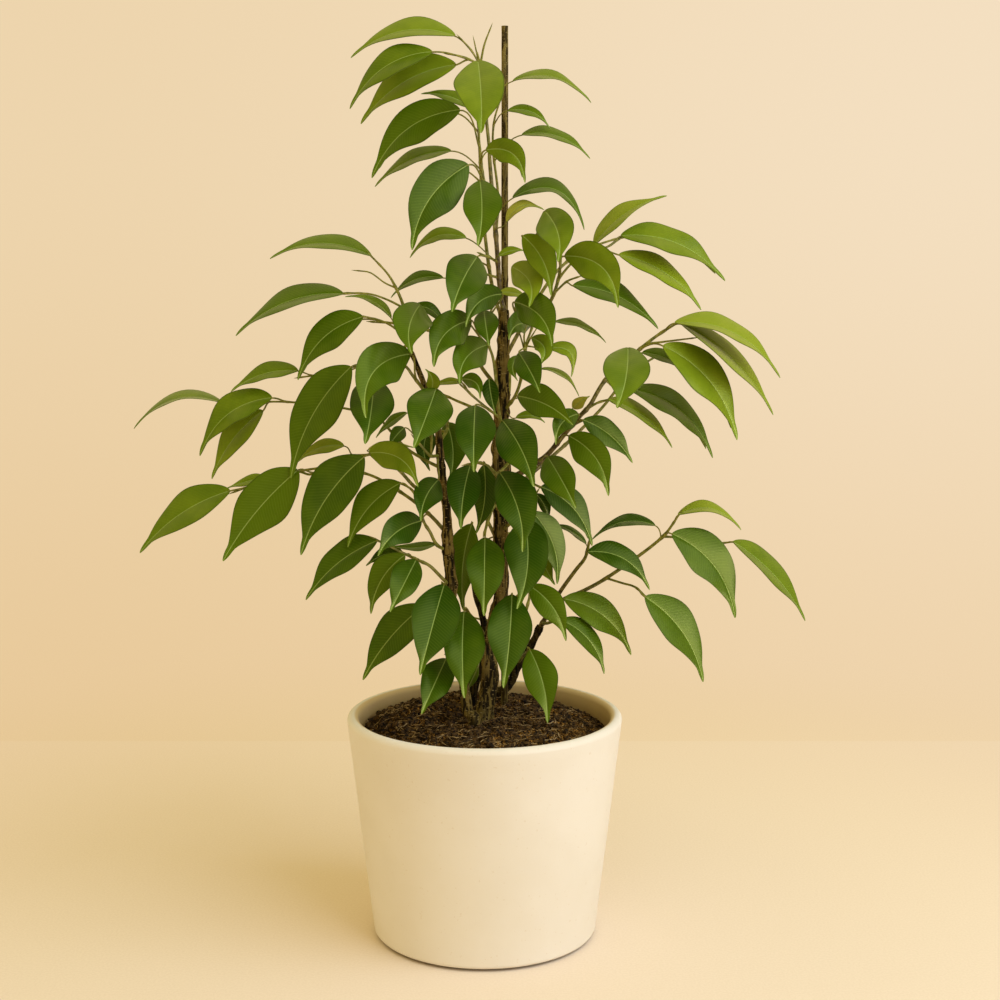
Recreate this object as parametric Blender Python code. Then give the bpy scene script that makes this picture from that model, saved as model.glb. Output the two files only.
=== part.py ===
"""Potted weeping fig: a woody stem clump with arching, drip-tipped leaves in a plain ceramic pot.

The plant is placed by sight: each stem, twig and leaf is named where it is seen from the viewing
point below, in pixels of a 1000 x 1000 frame, with its depth in millimetres. Sizes are real sizes.
"""
import math
from collections import namedtuple

import bmesh
import bpy
from mathutils import Matrix, Vector
from mathutils.bvhtree import BVHTree
from mathutils.noise import noise

MM = 0.001

# Pot
POT_HEIGHT = 155.5 * MM
POT_TOP_RADIUS = 95.0 * MM
POT_BASE_RADIUS = 77.0 * MM
POT_FOOT_RADIUS = 73.0 * MM
POT_FOOT_HEIGHT = 1.6 * MM
POT_WALL = 8.0 * MM
POT_FLOOR = 10.0 * MM
POT_BASE_ROUND = 5.0 * MM
FOOT_STEP = 0.6 * MM
POT_SIDES = 48
RIM_ARC_STEPS = 5

# Soil
SOIL_TOP = 141.5 * MM
SOIL_MOUND = 8.0 * MM
SOIL_SHOULDER = 3.0
SOIL_LUMP = 1.6 * MM
SOIL_LUMPS_PER_METRE = 62.0
SOIL_SIDES = 28
SOIL_RINGS = 5
HOLE_SIDES = 12
SOIL_WALL_GAP = 0.55 * MM
STEM_SIDES = 8
STEM_FOOT_LIFT = 4.0 * MM
MAIN_TWIG_SIDES = 5
SIDE_TWIG_SIDES = 4

# Clearances
GAP = 0.35 * MM
LEAF_CLEARANCE = 0.7 * MM

# Cane
CANE_SEEN = (504.8, 26.0)
CANE_DEPTH = 31.0 * MM
CANE_RADIUS = 2.4 * MM
CANE_SIDES = 10
BURIED_DEPTH = 25.0 * MM

# Leaves
BLADE_THICKNESS = 0.7 * MM
WIDE_STATIONS = (0.0, 0.14, 0.42, 0.80, 1.0)
NARROW_STATIONS = (0.0, 0.30, 0.74, 1.0)
FACET_ALLOWANCE = 1.05
WIDE_LEAF_PX = 25
FLAT_ANGLE = math.radians(0.3)
SEAT_STEPS = 300
LEAF_LENGTH = 74.0 * MM
LEAF_WIDTH_SHARE = 0.42
MOST_TURNED = 5.5
OUTWARD_LEAN = 0.3
DRIP_START = 0.88
BLUNT_BASE = 0.78
FOLD_ANGLE = math.radians(10.0)
PETIOLE_HALF_WIDTH = 0.75 * MM
SHORT_PETIOLE = 3.5 * MM
END_MARGIN = 1.4 * MM
MIDDLE_SHARE_OF_DEPTH = 0.62
BEHIND_SCALE = 0.82
BEHIND_SHADOW = 0.84
SETTLE_STEP = 3.0 * MM
SETTLE_TRIES = 16

# Viewing point
EYE = Vector((10.5 * MM, -1110.0 * MM, 453.0 * MM))
VIEW_PITCH = math.radians(7.7)
VIEW_FOCAL_PX = 1651.0
VIEW_CENTRE_PX = 500.0

Leaf = namedtuple("Leaf", "name base middle tip width depth toward")
Spray = namedtuple("Spray", "seat twigs leaves")


def leaf(name, base_x, base_y, mid_x, mid_y, tip_x, tip_y, width, depth):
    """One leaf as seen: blade base, middle of its midrib, tip and width, and the base's depth."""
    return Leaf(name, (base_x, base_y), (mid_x, mid_y), (tip_x, tip_y), width, depth, -1.0)


# Woody stems: where each enters the soil, then x, y, depth and radius along it.
STEMS = {
    "main_stem": ((484, 719), (
        (487, 700, 5, 5.6), (490, 675, 9, 6.2), (489, 650, 11, 5.2), (495, 620, 12.5, 4.7),
        (502, 585, 12, 4.6), (500, 555, 12, 4.3), (500, 520, 11, 4.3), (501, 490, 10, 4.9),
        (501, 466, 10, 6.1), (500, 440, 11, 5.1), (502, 400, 12, 4.6), (503, 350, 12, 4.1),
        (504, 310, 13, 3.0))),
    "left_stem": ((475, 726), (
        (468, 712, -13, 3.6), (465, 690, -9.5, 3.6), (458, 650, -7, 3.6), (452, 610, -8, 3.6),
        (451, 581, -10, 3.7), (448, 552, -11, 3.6), (447, 514, -12, 3.1), (441, 466, -14, 2.5),
        (437, 424, -15, 2.1), (425, 387, -15, 1.9), (417, 366, -15, 1.6), (411, 352, -15, 1.4))),
    "back_left_stem": ((472, 710), (
        (473, 692, 28, 3.2), (479, 670, 28, 3.0), (485, 640, 28, 2.8), (482, 615, 28, 2.4),
        (476, 596, 29, 2.0), (471, 566, 30, 1.6))),
    "right_stem": ((498, 701), (
        (504, 690, 48, 3.0), (512, 680, 46, 2.9), (518, 665, 44, 2.8), (528, 650, 42, 2.7),
        (534, 640, 40, 2.6), (540, 626, 38, 2.3))),
}

# Sprays: the stem that carries each, its twigs (x, y, depth, radius) and its leaves.
SPRAYS = {
    "leader_shoot": Spray("main_stem", (
        ((504, 312, 13, 2.2), (500, 290, 13, 1.9), (497, 250, 12, 1.8), (495, 225, 13, 1.7),
         (490, 165, 14, 1.4), (489, 145, 14, 1.2), (484, 100, 12, 1.1), (479, 62, 9, 0.8)),
        ((496, 232, 13, 1.0), (485, 185, 8, 0.9), (481, 160, 6, 0.8), (478, 125, 3, 0.7)),
        ((480, 68, 9, 0.8), (484, 46, 8, 0.7), (489, 32, 8, 0.45)),
        ((479, 66, 9, 0.7), (475, 45, 11, 0.45)),
        ((479, 64, 9, 0.8), (463, 57, 4, 0.7), (449, 54, -3, 0.6)),
        ((479, 62, 9, 0.7), (471, 50, 6, 0.65), (463, 41, 3, 0.55)),
        ((497, 236, 13, 1.0), (498, 195, 15, 0.9), (493, 150, 17, 0.8), (494, 122, 17, 0.7),
         (499, 104, 17, 0.55)),
        ((497, 262, 12, 0.9), (488, 257, 0, 0.8), (481, 254, -9, 0.7)),
        ((498, 278, 12, 0.9), (475, 272, 6, 0.8), (458, 274, 0, 0.7))), (
        leaf("t1", 455, 36, 410, 30, 351, 58, 18, 2),
        leaf("t2", 432, 52, 392, 63, 350, 109, 25, -12),
        leaf("t3", 456, 65, 408, 80, 361, 124, 32, 6),
        leaf("t4", 471, 108, 447, 96, 421, 94, 12, 12),
        leaf("t5", 478, 61, 481, 92, 481, 133, 50, -6),
        leaf("t6", 460, 110, 412, 126, 372, 178, 38, -4),
        leaf("t7", 451, 151, 413, 159, 375, 187, 14, 6),
        leaf("t8", 468, 165, 431, 197, 412, 250, 48, -10),
        leaf("t9", 466, 238, 438, 236, 410, 258, 13, 4),
        leaf("r1", 513, 81, 552, 77, 591, 103, 9, 4),
        leaf("r2", 508, 111, 531, 112, 550, 129, 10, 6),
        leaf("r3", 522, 135, 556, 136, 590, 159, 11, 4),
        leaf("r4", 513, 198, 553, 189, 584, 230, 14, 4),
        leaf("c2", 486, 150, 510, 152, 525, 183, 25, -6),
        leaf("c3", 480, 181, 482, 205, 478, 246, 39, -14),
        leaf("c4", 477, 257, 463, 280, 452, 312, 43, -20),
        leaf("l2", 443, 278, 418, 279, 391, 298, 11, -2),
        leaf("c5b", 499, 256, 511, 251, 526, 251, 8, 2),
        leaf("c18", 499, 293, 514, 293, 530, 302, 9, -6),
        leaf("r5a", 507, 222, 522, 206, 544, 210, 10, 0))),
    "upper_right_shoot": Spray("main_stem", (
        ((503, 340, 12, 1.8), (525, 322, 4, 1.6), (545, 308, 0, 1.5), (553, 296, -3, 1.3),
         (559, 276, -5, 1.1), (561, 256, -6, 0.8)),
        ((558, 280, -5, 0.9), (572, 263, -8, 0.8), (590, 252, -9, 0.8), (607, 247, -8, 0.7),
         (618, 240, -7, 0.6)),
        ((554, 294, -3, 0.8), (566, 282, -6, 0.7), (575, 278, -8, 0.6)),
        ((545, 308, 0, 1.0), (535, 287, -6, 0.9), (531, 262, -10, 0.8), (536, 238, -12, 0.8),
         (541, 222, -13, 0.7)),
        ((520, 326, 6, 0.9), (516, 312, -8, 0.8))), (
        leaf("r5b", 545, 211, 557, 230, 558, 262, 38, -20),
        leaf("c5", 523, 236, 541, 257, 551, 296, 30, -24),
        leaf("c6", 512, 267, 530, 283, 529, 307, 32, -14),
        leaf("r7", 565, 256, 598, 264, 618, 308, 38, -30),
        leaf("r8", 573, 286, 617, 296, 658, 329, 22, -12),
        leaf("r9", 594.5, 245, 618, 219, 667, 196, 16, -2),
        leaf("r10", 621, 236, 670, 241, 725, 281, 26, -7),
        leaf("r11", 619, 255, 660, 270, 701, 310, 22, -12),
        leaf("c8", 515, 302, 538, 314, 552, 346, 36, -20),
        leaf("c10", 555, 322, 576, 324, 606, 343, 8, 0))),
    "inner_right_shoot": Spray("main_stem", (
        ((503, 412, 11, 1.4), (514, 398, 3, 1.2), (520, 383, -1, 1.1), (524, 362, -5, 1.0),
         (526, 345, -7, 0.9), (531, 331, -7, 0.7)),
        ((525, 352, -6, 0.7), (521, 338, -9, 0.5)),
        ((526, 350, -7, 0.7), (524, 337, -12, 0.6), (526, 327, -14, 0.4)),
        ((526, 348, -7, 0.7), (530, 339, -11, 0.6), (535, 331, -13, 0.4))), (
        leaf("c9", 531, 325, 519, 324, 509, 340, 24, 0),
        leaf("c11", 548, 349, 568, 351, 571, 377, 14, -10),
        leaf("c12", 532, 338, 544, 347, 538, 367, 19, 0),
        leaf("c13", 519, 353, 529, 369, 540, 393, 28, -18),
        leaf("c14", 518, 356, 513, 366, 518, 381, 12, -12),
        leaf("c15", 541, 369, 563, 376, 579, 397, 5, -6),
        leaf("c16", 518, 396, 545, 404, 573, 425, 33, -10),
        leaf("c17", 516, 418, 533, 416, 545, 423, 8, 0))),
    "inner_left_shoot": Spray("main_stem", (
        ((502, 432, 10, 1.4), (498, 405, 1, 1.3), (496, 380, -2, 1.2), (493, 358, -5, 1.0),
         (488, 343, -7, 0.9), (486, 325, -8, 0.8), (493, 306, -9, 0.6)),
        ((489, 346, -6, 0.8), (480, 337, -9, 0.7), (473, 328, -11, 0.6)),
        ((498, 420, 3, 1.0), (487, 408, -3, 0.9), (475, 398, -6, 0.8), (463, 387, -8, 0.6))), (
        leaf("m1", 502, 294, 482, 300, 466, 327, 27, -10),
        leaf("m2", 471, 320, 447, 332, 434, 367, 38, -16),
        leaf("m8", 484, 311, 486, 326, 489, 346, 25, -14),
        leaf("m3", 487, 345, 467, 357, 460, 384, 36, -16),
        leaf("m4", 462, 379, 475, 382, 480, 399, 16, -10),
        leaf("m5", 462, 383, 448, 382, 430, 388, 7, -8),
        leaf("m6", 489, 379, 491, 395, 496, 415, 17, 0),
        leaf("m7", 475, 406, 474, 430, 474, 472, 42, -24))),
    "left_crown": Spray("left_stem", (
        ((411.5, 354, -15, 1.3), (406, 325, -15, 1.2), (403, 305, -14, 1.1), (395, 286, -13, 0.9),
         (387, 273, -14, 0.7), (373, 258, -15, 0.6)),
        ((395, 288, -13, 0.6), (385, 283, -12, 0.55), (371, 273, -12, 0.5), (361, 271, -12, 0.45)),
        ((409, 346, -15, 0.9), (404, 338, -17, 0.8), (396, 329, -18, 0.8), (382, 321, -18, 0.7),
         (366, 317, -18, 0.6)),
        ((403, 308, -14, 0.8), (388, 300, -16, 0.7), (370, 294, -18, 0.6), (350, 293, -18, 0.6))), (
        leaf("l1", 371, 256, 318, 243.5, 270, 259, 15, -16),
        leaf("l3", 343, 294, 296, 299, 236, 336, 20, -20),
        leaf("l3b", 391, 318, 372, 301, 345, 297, 8, -8),
        leaf("l4", 363, 317, 327, 335, 298, 380, 33, -22),
        leaf("l21", 420, 305, 410, 324, 412, 354, 40, -26),
        leaf("l22", 412, 307, 431, 310, 444, 333, 12, -8))),
    "left_middle": Spray("left_stem", (
        ((428, 396, -15, 1.3), (413, 376, -23, 1.1), (403, 365, -24, 1.0), (378, 361, -22, 0.9),
         (352, 367, -18, 0.8), (330, 373, -12, 0.7), (303, 377, -8, 0.6)),), (
        leaf("l16", 410, 354, 378, 367, 366, 418, 45, -38),
        leaf("l17", 374, 380, 371, 412, 365, 444, 45, -26),
        leaf("l6", 351, 367, 317, 408, 291, 478, 48, -28),
        leaf("l5", 298, 371, 264, 374, 231, 392, 17, -8))),
    "left_far": Spray("left_stem", (
        ((441, 468, -14, 1.3), (425, 460, -14, 1.1), (405, 447, -10, 1.0), (387, 427, -6, 0.9),
         (376, 416, -4, 0.8), (348, 409, -1, 0.8), (320, 405, 0, 0.7), (288, 402, 0, 0.7),
         (262, 402, 1, 0.6), (232, 404, 2, 0.5)),), (
        leaf("l7", 222, 403, 182, 398, 134, 429, 9, 3),
        leaf("l8", 272, 398, 236, 409, 200, 456, 30, -10),
        leaf("l9", 263, 411, 232, 441, 212, 479, 26, 0))),
    "left_low": Spray("left_stem", (
        ((443, 497, -12, 1.4), (430, 494, -18, 1.3), (415, 487, -22, 1.3), (400, 471, -25, 1.2),
         (380, 454, -27, 1.1), (367, 455, -26, 1.0), (341, 458, -20, 0.9), (313, 474, -15, 0.8),
         (296, 472, -12, 0.8), (262, 482, -9, 0.7), (237, 491, -8, 0.6)),), (
        leaf("l12", 364, 457, 328, 496, 301, 555, 50, -36),
        leaf("l10", 298, 470, 262, 505, 223, 561, 52, -24),
        leaf("l13", 230, 491, 187, 510, 140, 553, 34, -10),
        leaf("l14", 268, 478, 246, 482, 226, 489, 10, -2),
        leaf("l15", 344, 446, 322, 447, 298, 462, 15, -12),
        leaf("l31", 369, 453, 399, 458, 418, 487, 30, -32),
        leaf("l31b", 368, 450, 395, 446, 415, 448, 8, -20))),
    "left_inner": Spray("left_stem", (
        ((447, 550, -11, 1.3), (437, 545, -17, 1.2), (430, 532, -21, 1.1), (424, 522, -22, 1.0),
         (418, 503, -22, 0.8), (412, 490, -23, 0.8), (402, 484, -24, 0.7)),), (
        leaf("l34", 421, 521, 401, 529, 378, 556, 33, -30),
        leaf("l35", 436, 544.5, 415, 548, 388, 546, 9, -18),
        leaf("l32", 400, 483.5, 375, 501, 348, 547, 33, -30))),
    "left_base": Spray("left_stem", (
        ((450, 586, -10, 1.4), (442, 578, -16, 1.3), (430, 566, -19, 1.2), (420, 561, -21, 1.1),
         (403, 553, -24, 1.0), (391, 547, -26, 0.8), (377, 540, -28, 0.7)),), (
        leaf("l33", 377, 541, 341, 561, 306, 600, 31, -30),
        leaf("l36", 405, 555, 386, 573, 371, 614, 30, -34),
        leaf("l36b", 403, 553, 388, 554, 366, 566, 16, -14),
        leaf("l37", 416, 560, 405, 582, 390, 612, 32, -25))),
    "left_centre": Spray("left_stem", (
        ((440, 455, -14, 1.2), (431, 456, -22, 1.1), (424, 449, -26, 0.9), (417, 441, -28, 0.7)),
        ((431, 456, -22, 0.9), (432, 425, -24, 0.8), (433, 400, -26, 0.7))), (
        leaf("l20", 436, 389, 427, 414, 414, 448, 46, -34),
        leaf("l27", 431, 391, 432, 378, 425, 369, 14, -22),
        leaf("l78", 438, 480, 426, 497, 421, 521, 30, -28),
        leaf("l19", 407, 413, 393, 421, 376, 438, 9, -20),
        leaf("l81", 404, 428, 396, 436, 389, 447, 16, -22))),
    "left_shade": Spray("left_stem", (
        ((441, 440, -14, 1.1), (447, 430, -2, 1.0), (448, 424, 4, 0.7)),
        ((446, 432, -4, 0.8), (434, 430, 4, 0.6))), (
        leaf("l79", 447, 423, 453, 450, 450, 480, 30, 6),
        leaf("l80", 430, 428, 424, 447, 430, 471, 22, 6))),
    "lower_left": Spray("left_stem", (
        ((451, 605, -9, 1.4), (447, 595, -20, 1.3), (443, 585, -34, 1.0)),
        ((448, 598, -17, 1.0), (436, 603, -24, 0.9), (426, 606, -28, 0.7))), (
        leaf("l38", 444, 585, 433, 624, 420, 675, 50, -46),
        leaf("l39", 424, 606, 391, 637, 363, 680, 40, -34))),
    "lower_left_foot": Spray("left_stem", (
        ((459, 660, -6, 1.3), (453, 650, -18, 1.1), (448, 652, -26, 0.8)),), (
        leaf("l40", 446, 659, 435, 683, 421.5, 714, 34, -36),)),
    "front_low": Spray("back_left_stem", (
        ((485, 636, 28, 1.3), (476, 622, 4, 1.2), (466, 610, -16, 1.0)),
        ((478, 625, 9, 0.9), (479, 652, 2, 0.7), (478, 664, -2, 0.6))), (
        leaf("l41", 464, 612, 462.5, 647, 464.5, 698, 44, -34),
        leaf("l42", 478, 667, 472, 680, 466, 692, 10, -4))),
    "shade_low": Spray("back_left_stem", (
        ((471, 564, 30, 1.4), (469, 545, 22, 1.2), (471, 527, 10, 0.9)),), (
        leaf("l45", 472, 524, 463, 565, 464, 611, 34, 2),)),
    "front_left": Spray("main_stem", (
        ((503, 484, 10, 1.5), (492, 470, -2, 1.3), (481, 463, -8, 1.1), (470, 464, -12, 0.8)),), (
        leaf("l44", 470, 466, 463, 498, 461, 529, 36, -18),
        leaf("l44b", 484, 465, 485, 498, 476, 534, 26, -12))),
    "front_centre": Spray("main_stem", (
        ((500, 508, 11, 1.5), (494, 506, -6, 1.3), (489, 518, -20, 1.2), (485, 531, -30, 0.9)),), (
        leaf("l46", 485, 538, 484.5, 568, 484, 616, 40, -36),)),
    "front_right": Spray("main_stem", (
        ((504, 470, 10, 1.6), (509, 462, -6, 1.4), (505, 440, -14, 1.1), (502, 424, -18, 0.8)),
        ((509, 464, -4, 1.1), (502, 470, -22, 0.9), (499, 472, -28, 0.8))), (
        leaf("l47", 503, 421, 519, 445, 534, 487, 42, -22),
        leaf("l48", 500, 473, 516, 503, 522.5, 552, 43, -36))),
    "shade_right": Spray("main_stem", (
        ((500, 532, 11, 1.6), (514, 520, 2, 1.4), (528, 505, -4, 1.1), (535, 495, -5, 0.7)),
        ((514, 520, 2, 0.9), (519, 517, -10, 0.8)),
        ((520, 513, -1, 1.0), (534, 535, 0, 0.8), (536, 545, -2, 0.6))), (
        leaf("l49", 524, 518, 528, 560, 517, 609, 46, -16),
        leaf("l50", 532, 512, 553, 545, 557, 584, 30, -14),
        leaf("l51", 536, 494, 545, 508, 547, 524, 12, 2),
        leaf("l52", 535, 545, 545, 567, 555, 585, 22, -4))),
    "front_foot": Spray("main_stem", (
        ((500, 612, 13, 1.6), (508, 604, -2, 1.4), (512, 598, -18, 1.1), (512, 595, -28, 0.8)),
        ((508, 604, -2, 1.0), (522, 592, -6, 0.9), (530, 586, -10, 0.7))), (
        leaf("l54", 512, 595, 509.5, 640, 503.5, 688, 46, -34),
        leaf("l53", 530, 586, 549, 602, 566, 641, 30, -18))),
    "right_foot": Spray("right_stem", (
        ((518, 663, 44, 1.3), (524, 655, 26, 1.1), (529, 651, 8, 0.8)),), (
        leaf("l55", 530, 650, 543, 683, 547.5, 723, 36, -2),)),
    "upper_right_branch": Spray("main_stem", (
        ((503, 484, 9, 2.5), (530, 467, 3, 2.3), (547, 455, 1, 2.1), (563, 436, -2, 1.9),
         (580, 416, -6, 1.7), (590, 405, -8, 1.6), (607, 378, -10, 1.5), (640, 349, -12, 1.2),
         (658, 335, -13, 1.0), (674, 325, -14, 0.7)),
        ((586, 410, -7, 1.0), (597, 403, -9, 0.8), (607, 400, -10, 0.7)),
        ((640, 349, -12, 0.9), (650, 344, -16, 0.8), (662, 342, -18, 0.7), (690, 338.5, -18, 0.5)),
        ((606, 380, -10, 0.9), (620, 392, -4, 0.8), (631, 390, -6, 0.6)),
        ((572, 425, -4, 0.9), (584, 420, -8, 0.7))), (
        leaf("l64", 548, 457, 560, 477, 576, 508, 34, -16),
        leaf("l64b", 541, 487, 569, 504, 592, 546, 30, -4),
        leaf("l66", 583, 420, 607, 433, 632.5, 463, 26, -14),
        leaf("l67", 569, 436, 591, 452, 608.5, 496, 34, -20),
        leaf("l68", 578, 414, 565, 420, 556, 445, 22, -20),
        leaf("l70", 573, 408, 581, 401, 590, 396, 12, -12),
        leaf("l71", 608, 400, 637, 412, 672, 448, 14, -12),
        leaf("l72", 628, 348, 627, 371, 617, 408, 47, -28),
        leaf("l73", 630, 389.5, 675, 407, 712.5, 458, 25, -8),
        leaf("l74", 663, 346, 703, 374, 737, 440, 37, -26),
        leaf("l75", 642, 353, 665, 358, 692, 376, 12, -12),
        leaf("l76", 681, 324, 724, 352, 773, 415, 19, -20),
        leaf("l77", 675, 323, 722, 328, 780, 378, 18, -12))),
    "lower_right_branch": Spray("right_stem", (
        ((539, 629, 38.5, 2.2), (550, 610, 34, 1.9), (560, 592, 28, 1.7), (575, 571, 19, 1.5),
         (585, 558, 12, 1.3), (588.5, 545, 6, 0.9)),
        ((551, 608, 33, 1.7), (564, 599, 30, 1.6), (585, 590, 28, 1.5), (608, 577, 26, 1.4),
         (644, 552, 20, 1.2), (663, 536.5, 13, 1.1), (670, 528, 9, 0.9), (678, 516, 5, 0.7)),
        ((542, 622, 38, 1.4), (548, 623, 24, 1.2), (560, 619, 10, 0.8)),
        ((606, 578, 26, 0.9), (622, 583, 18, 0.8), (635, 587, 10, 0.8), (645, 596, 2, 0.7)),
        ((663, 536.5, 13, 0.9), (680, 538, 14, 0.8), (705, 544, 14, 0.7), (732, 542, 12, 0.6))), (
        leaf("l56", 564, 599, 598, 612, 631, 655, 33, 16),
        leaf("l57", 561, 620, 585, 636, 604, 674, 22, 4),
        leaf("l58", 645, 597, 680, 629, 703, 682, 38, -4),
        leaf("l59", 672, 534, 709, 560, 735, 618, 42, 0),
        leaf("l60", 733, 542, 768, 569, 805, 621, 20, 8),
        leaf("l61", 678, 515, 706, 508, 741, 530, 12, 3),
        leaf("l62", 655, 525.5, 625, 522, 592, 540, 12, 8),
        leaf("l63", 588, 552, 622, 558, 649.5, 590, 26, 2),
        leaf("l65", 586, 544, 572, 532, 548, 524, 7, 8))),
}

# Sprays at the back: the carrying stem, its twigs, and each leaf as the front leaf that hides it.
BACK_SPRAYS = {
    "back_top": ("main_stem", (
        ((503, 322, 12, 1.7), (492, 285, 48, 1.5), (484, 225, 66, 1.3), (480, 160, 78, 1.0),
         (478, 110, 84, 0.8), (478, 82, 84, 0.6)),), (
        ("t5", 88), ("t8", 80), ("t6", 92), ("c3", 84), ("c4", 64), ("c2", 88))),
    "back_top_right": ("main_stem", (
        ((503, 362, 12, 1.7), (520, 330, 40, 1.5), (540, 295, 52, 1.3), (560, 268, 60, 1.1),
         (585, 250, 66, 0.9), (612, 240, 70, 0.7)),
        ((530, 312, 46, 1.0), (530, 280, 54, 0.9), (532, 255, 58, 0.8), (541, 232, 62, 0.7))), (
        ("r5b", 74), ("c5", 66), ("r7", 72), ("c8", 54), ("r10", 76))),
    "back_left_high": ("main_stem", (
        ((503, 395, 12, 1.7), (485, 372, 38, 1.5), (470, 352, 48, 1.3), (440, 335, 56, 1.1),
         (410, 325, 60, 1.0), (375, 322, 64, 0.7)),
        ((425, 330, 58, 1.0), (400, 350, 64, 0.9), (365, 368, 64, 0.7))), (
        ("l21", 70), ("l16", 72), ("m2", 58), ("m3", 54), ("l4", 72), ("l6", 70))),
    "back_middle": ("main_stem", (
        ((503, 448, 11, 1.8), (492, 430, 44, 1.6), (480, 412, 76, 1.3), (455, 400, 92, 1.0),
         (440, 393, 97, 0.7)),
        ((492, 430, 44, 1.1), (508, 400, 68, 1.0), (509, 360, 84, 0.9), (500, 320, 92, 0.7))), (
        ("m7", 90), ("l20", 102), ("c16", 76), ("l47", 64), ("m1", 98))),
    "back_left_low": ("left_stem", (
        ((448, 535, -11, 1.6), (430, 515, 22, 1.4), (405, 495, 40, 1.2), (370, 475, 50, 1.0),
         (330, 468, 56, 0.8), (302, 470, 58, 0.6)),), (
        ("l12", 64), ("l32", 54), ("l34", 40), ("l10", 66))),
    "back_low": ("main_stem", (
        ((500, 545, 12, 1.8), (492, 530, 44, 1.5), (478, 500, 66, 1.2), (470, 480, 78, 0.9)),
        ((494, 535, 34, 1.1), (510, 512, 62, 1.0), (508, 488, 68, 0.8)),
        ((494, 535, 34, 1.1), (515, 532, 70, 0.9), (530, 522, 86, 0.7)),
        ((497, 541, 22, 1.1), (470, 560, 40, 0.9), (448, 583, 50, 0.7))), (
        ("l44", 86), ("l46", 68), ("l48", 76), ("l49", 84), ("l38", 58), ("l50", 94))),
    "back_right_low": ("right_stem", (
        ((530, 646, 42, 1.5), (525, 620, 66, 1.3), (531, 592, 84, 0.9)),
        ((526, 630, 56, 1.0), (495, 622, 66, 0.9), (474, 618, 68, 0.7))), (
        ("l54", 80), ("l53", 94), ("l41", 76))),
    "back_right": ("main_stem", (
        ((503, 500, 10, 1.9), (530, 475, 34, 1.6), (565, 445, 46, 1.3), (600, 410, 54, 1.1),
         (625, 380, 58, 0.9), (650, 360, 60, 0.8), (668, 352, 62, 0.6)),), (
        ("l64", 52), ("l67", 58), ("l72", 66), ("l64b", 58), ("l73", 66), ("l74", 70))),
}


def sight(px, py):
    """Direction of the sight line through a pixel, for which the forward part is one."""
    across = (px - VIEW_CENTRE_PX) / VIEW_FOCAL_PX
    up = (VIEW_CENTRE_PX - py) / VIEW_FOCAL_PX
    forward = Vector((0, math.cos(VIEW_PITCH), -math.sin(VIEW_PITCH)))
    lift = Vector((0, math.sin(VIEW_PITCH), math.cos(VIEW_PITCH)))
    return forward + Vector((across, 0, 0)) + lift * up


def at_depth(px, py, depth):
    """Point of a sight line where it has gone to this depth behind the pot's axis."""
    ray = sight(px, py)
    return EYE + ray * ((depth - EYE.y) / ray.y)


def at_height(px, py, height):
    """Point of a sight line where it meets a level."""
    ray = sight(px, py)
    return EYE + ray * ((height - EYE.z) / ray.z)


def outline(t):
    """Half-width of a leaf along its midrib, as a share of the widest: ovate with a drip tip."""
    body = math.sin(math.pi * min(1.0, t / DRIP_START) ** BLUNT_BASE)
    return 0.93 * body + 0.05 * math.sqrt(1.0 - t) + 0.02


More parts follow.
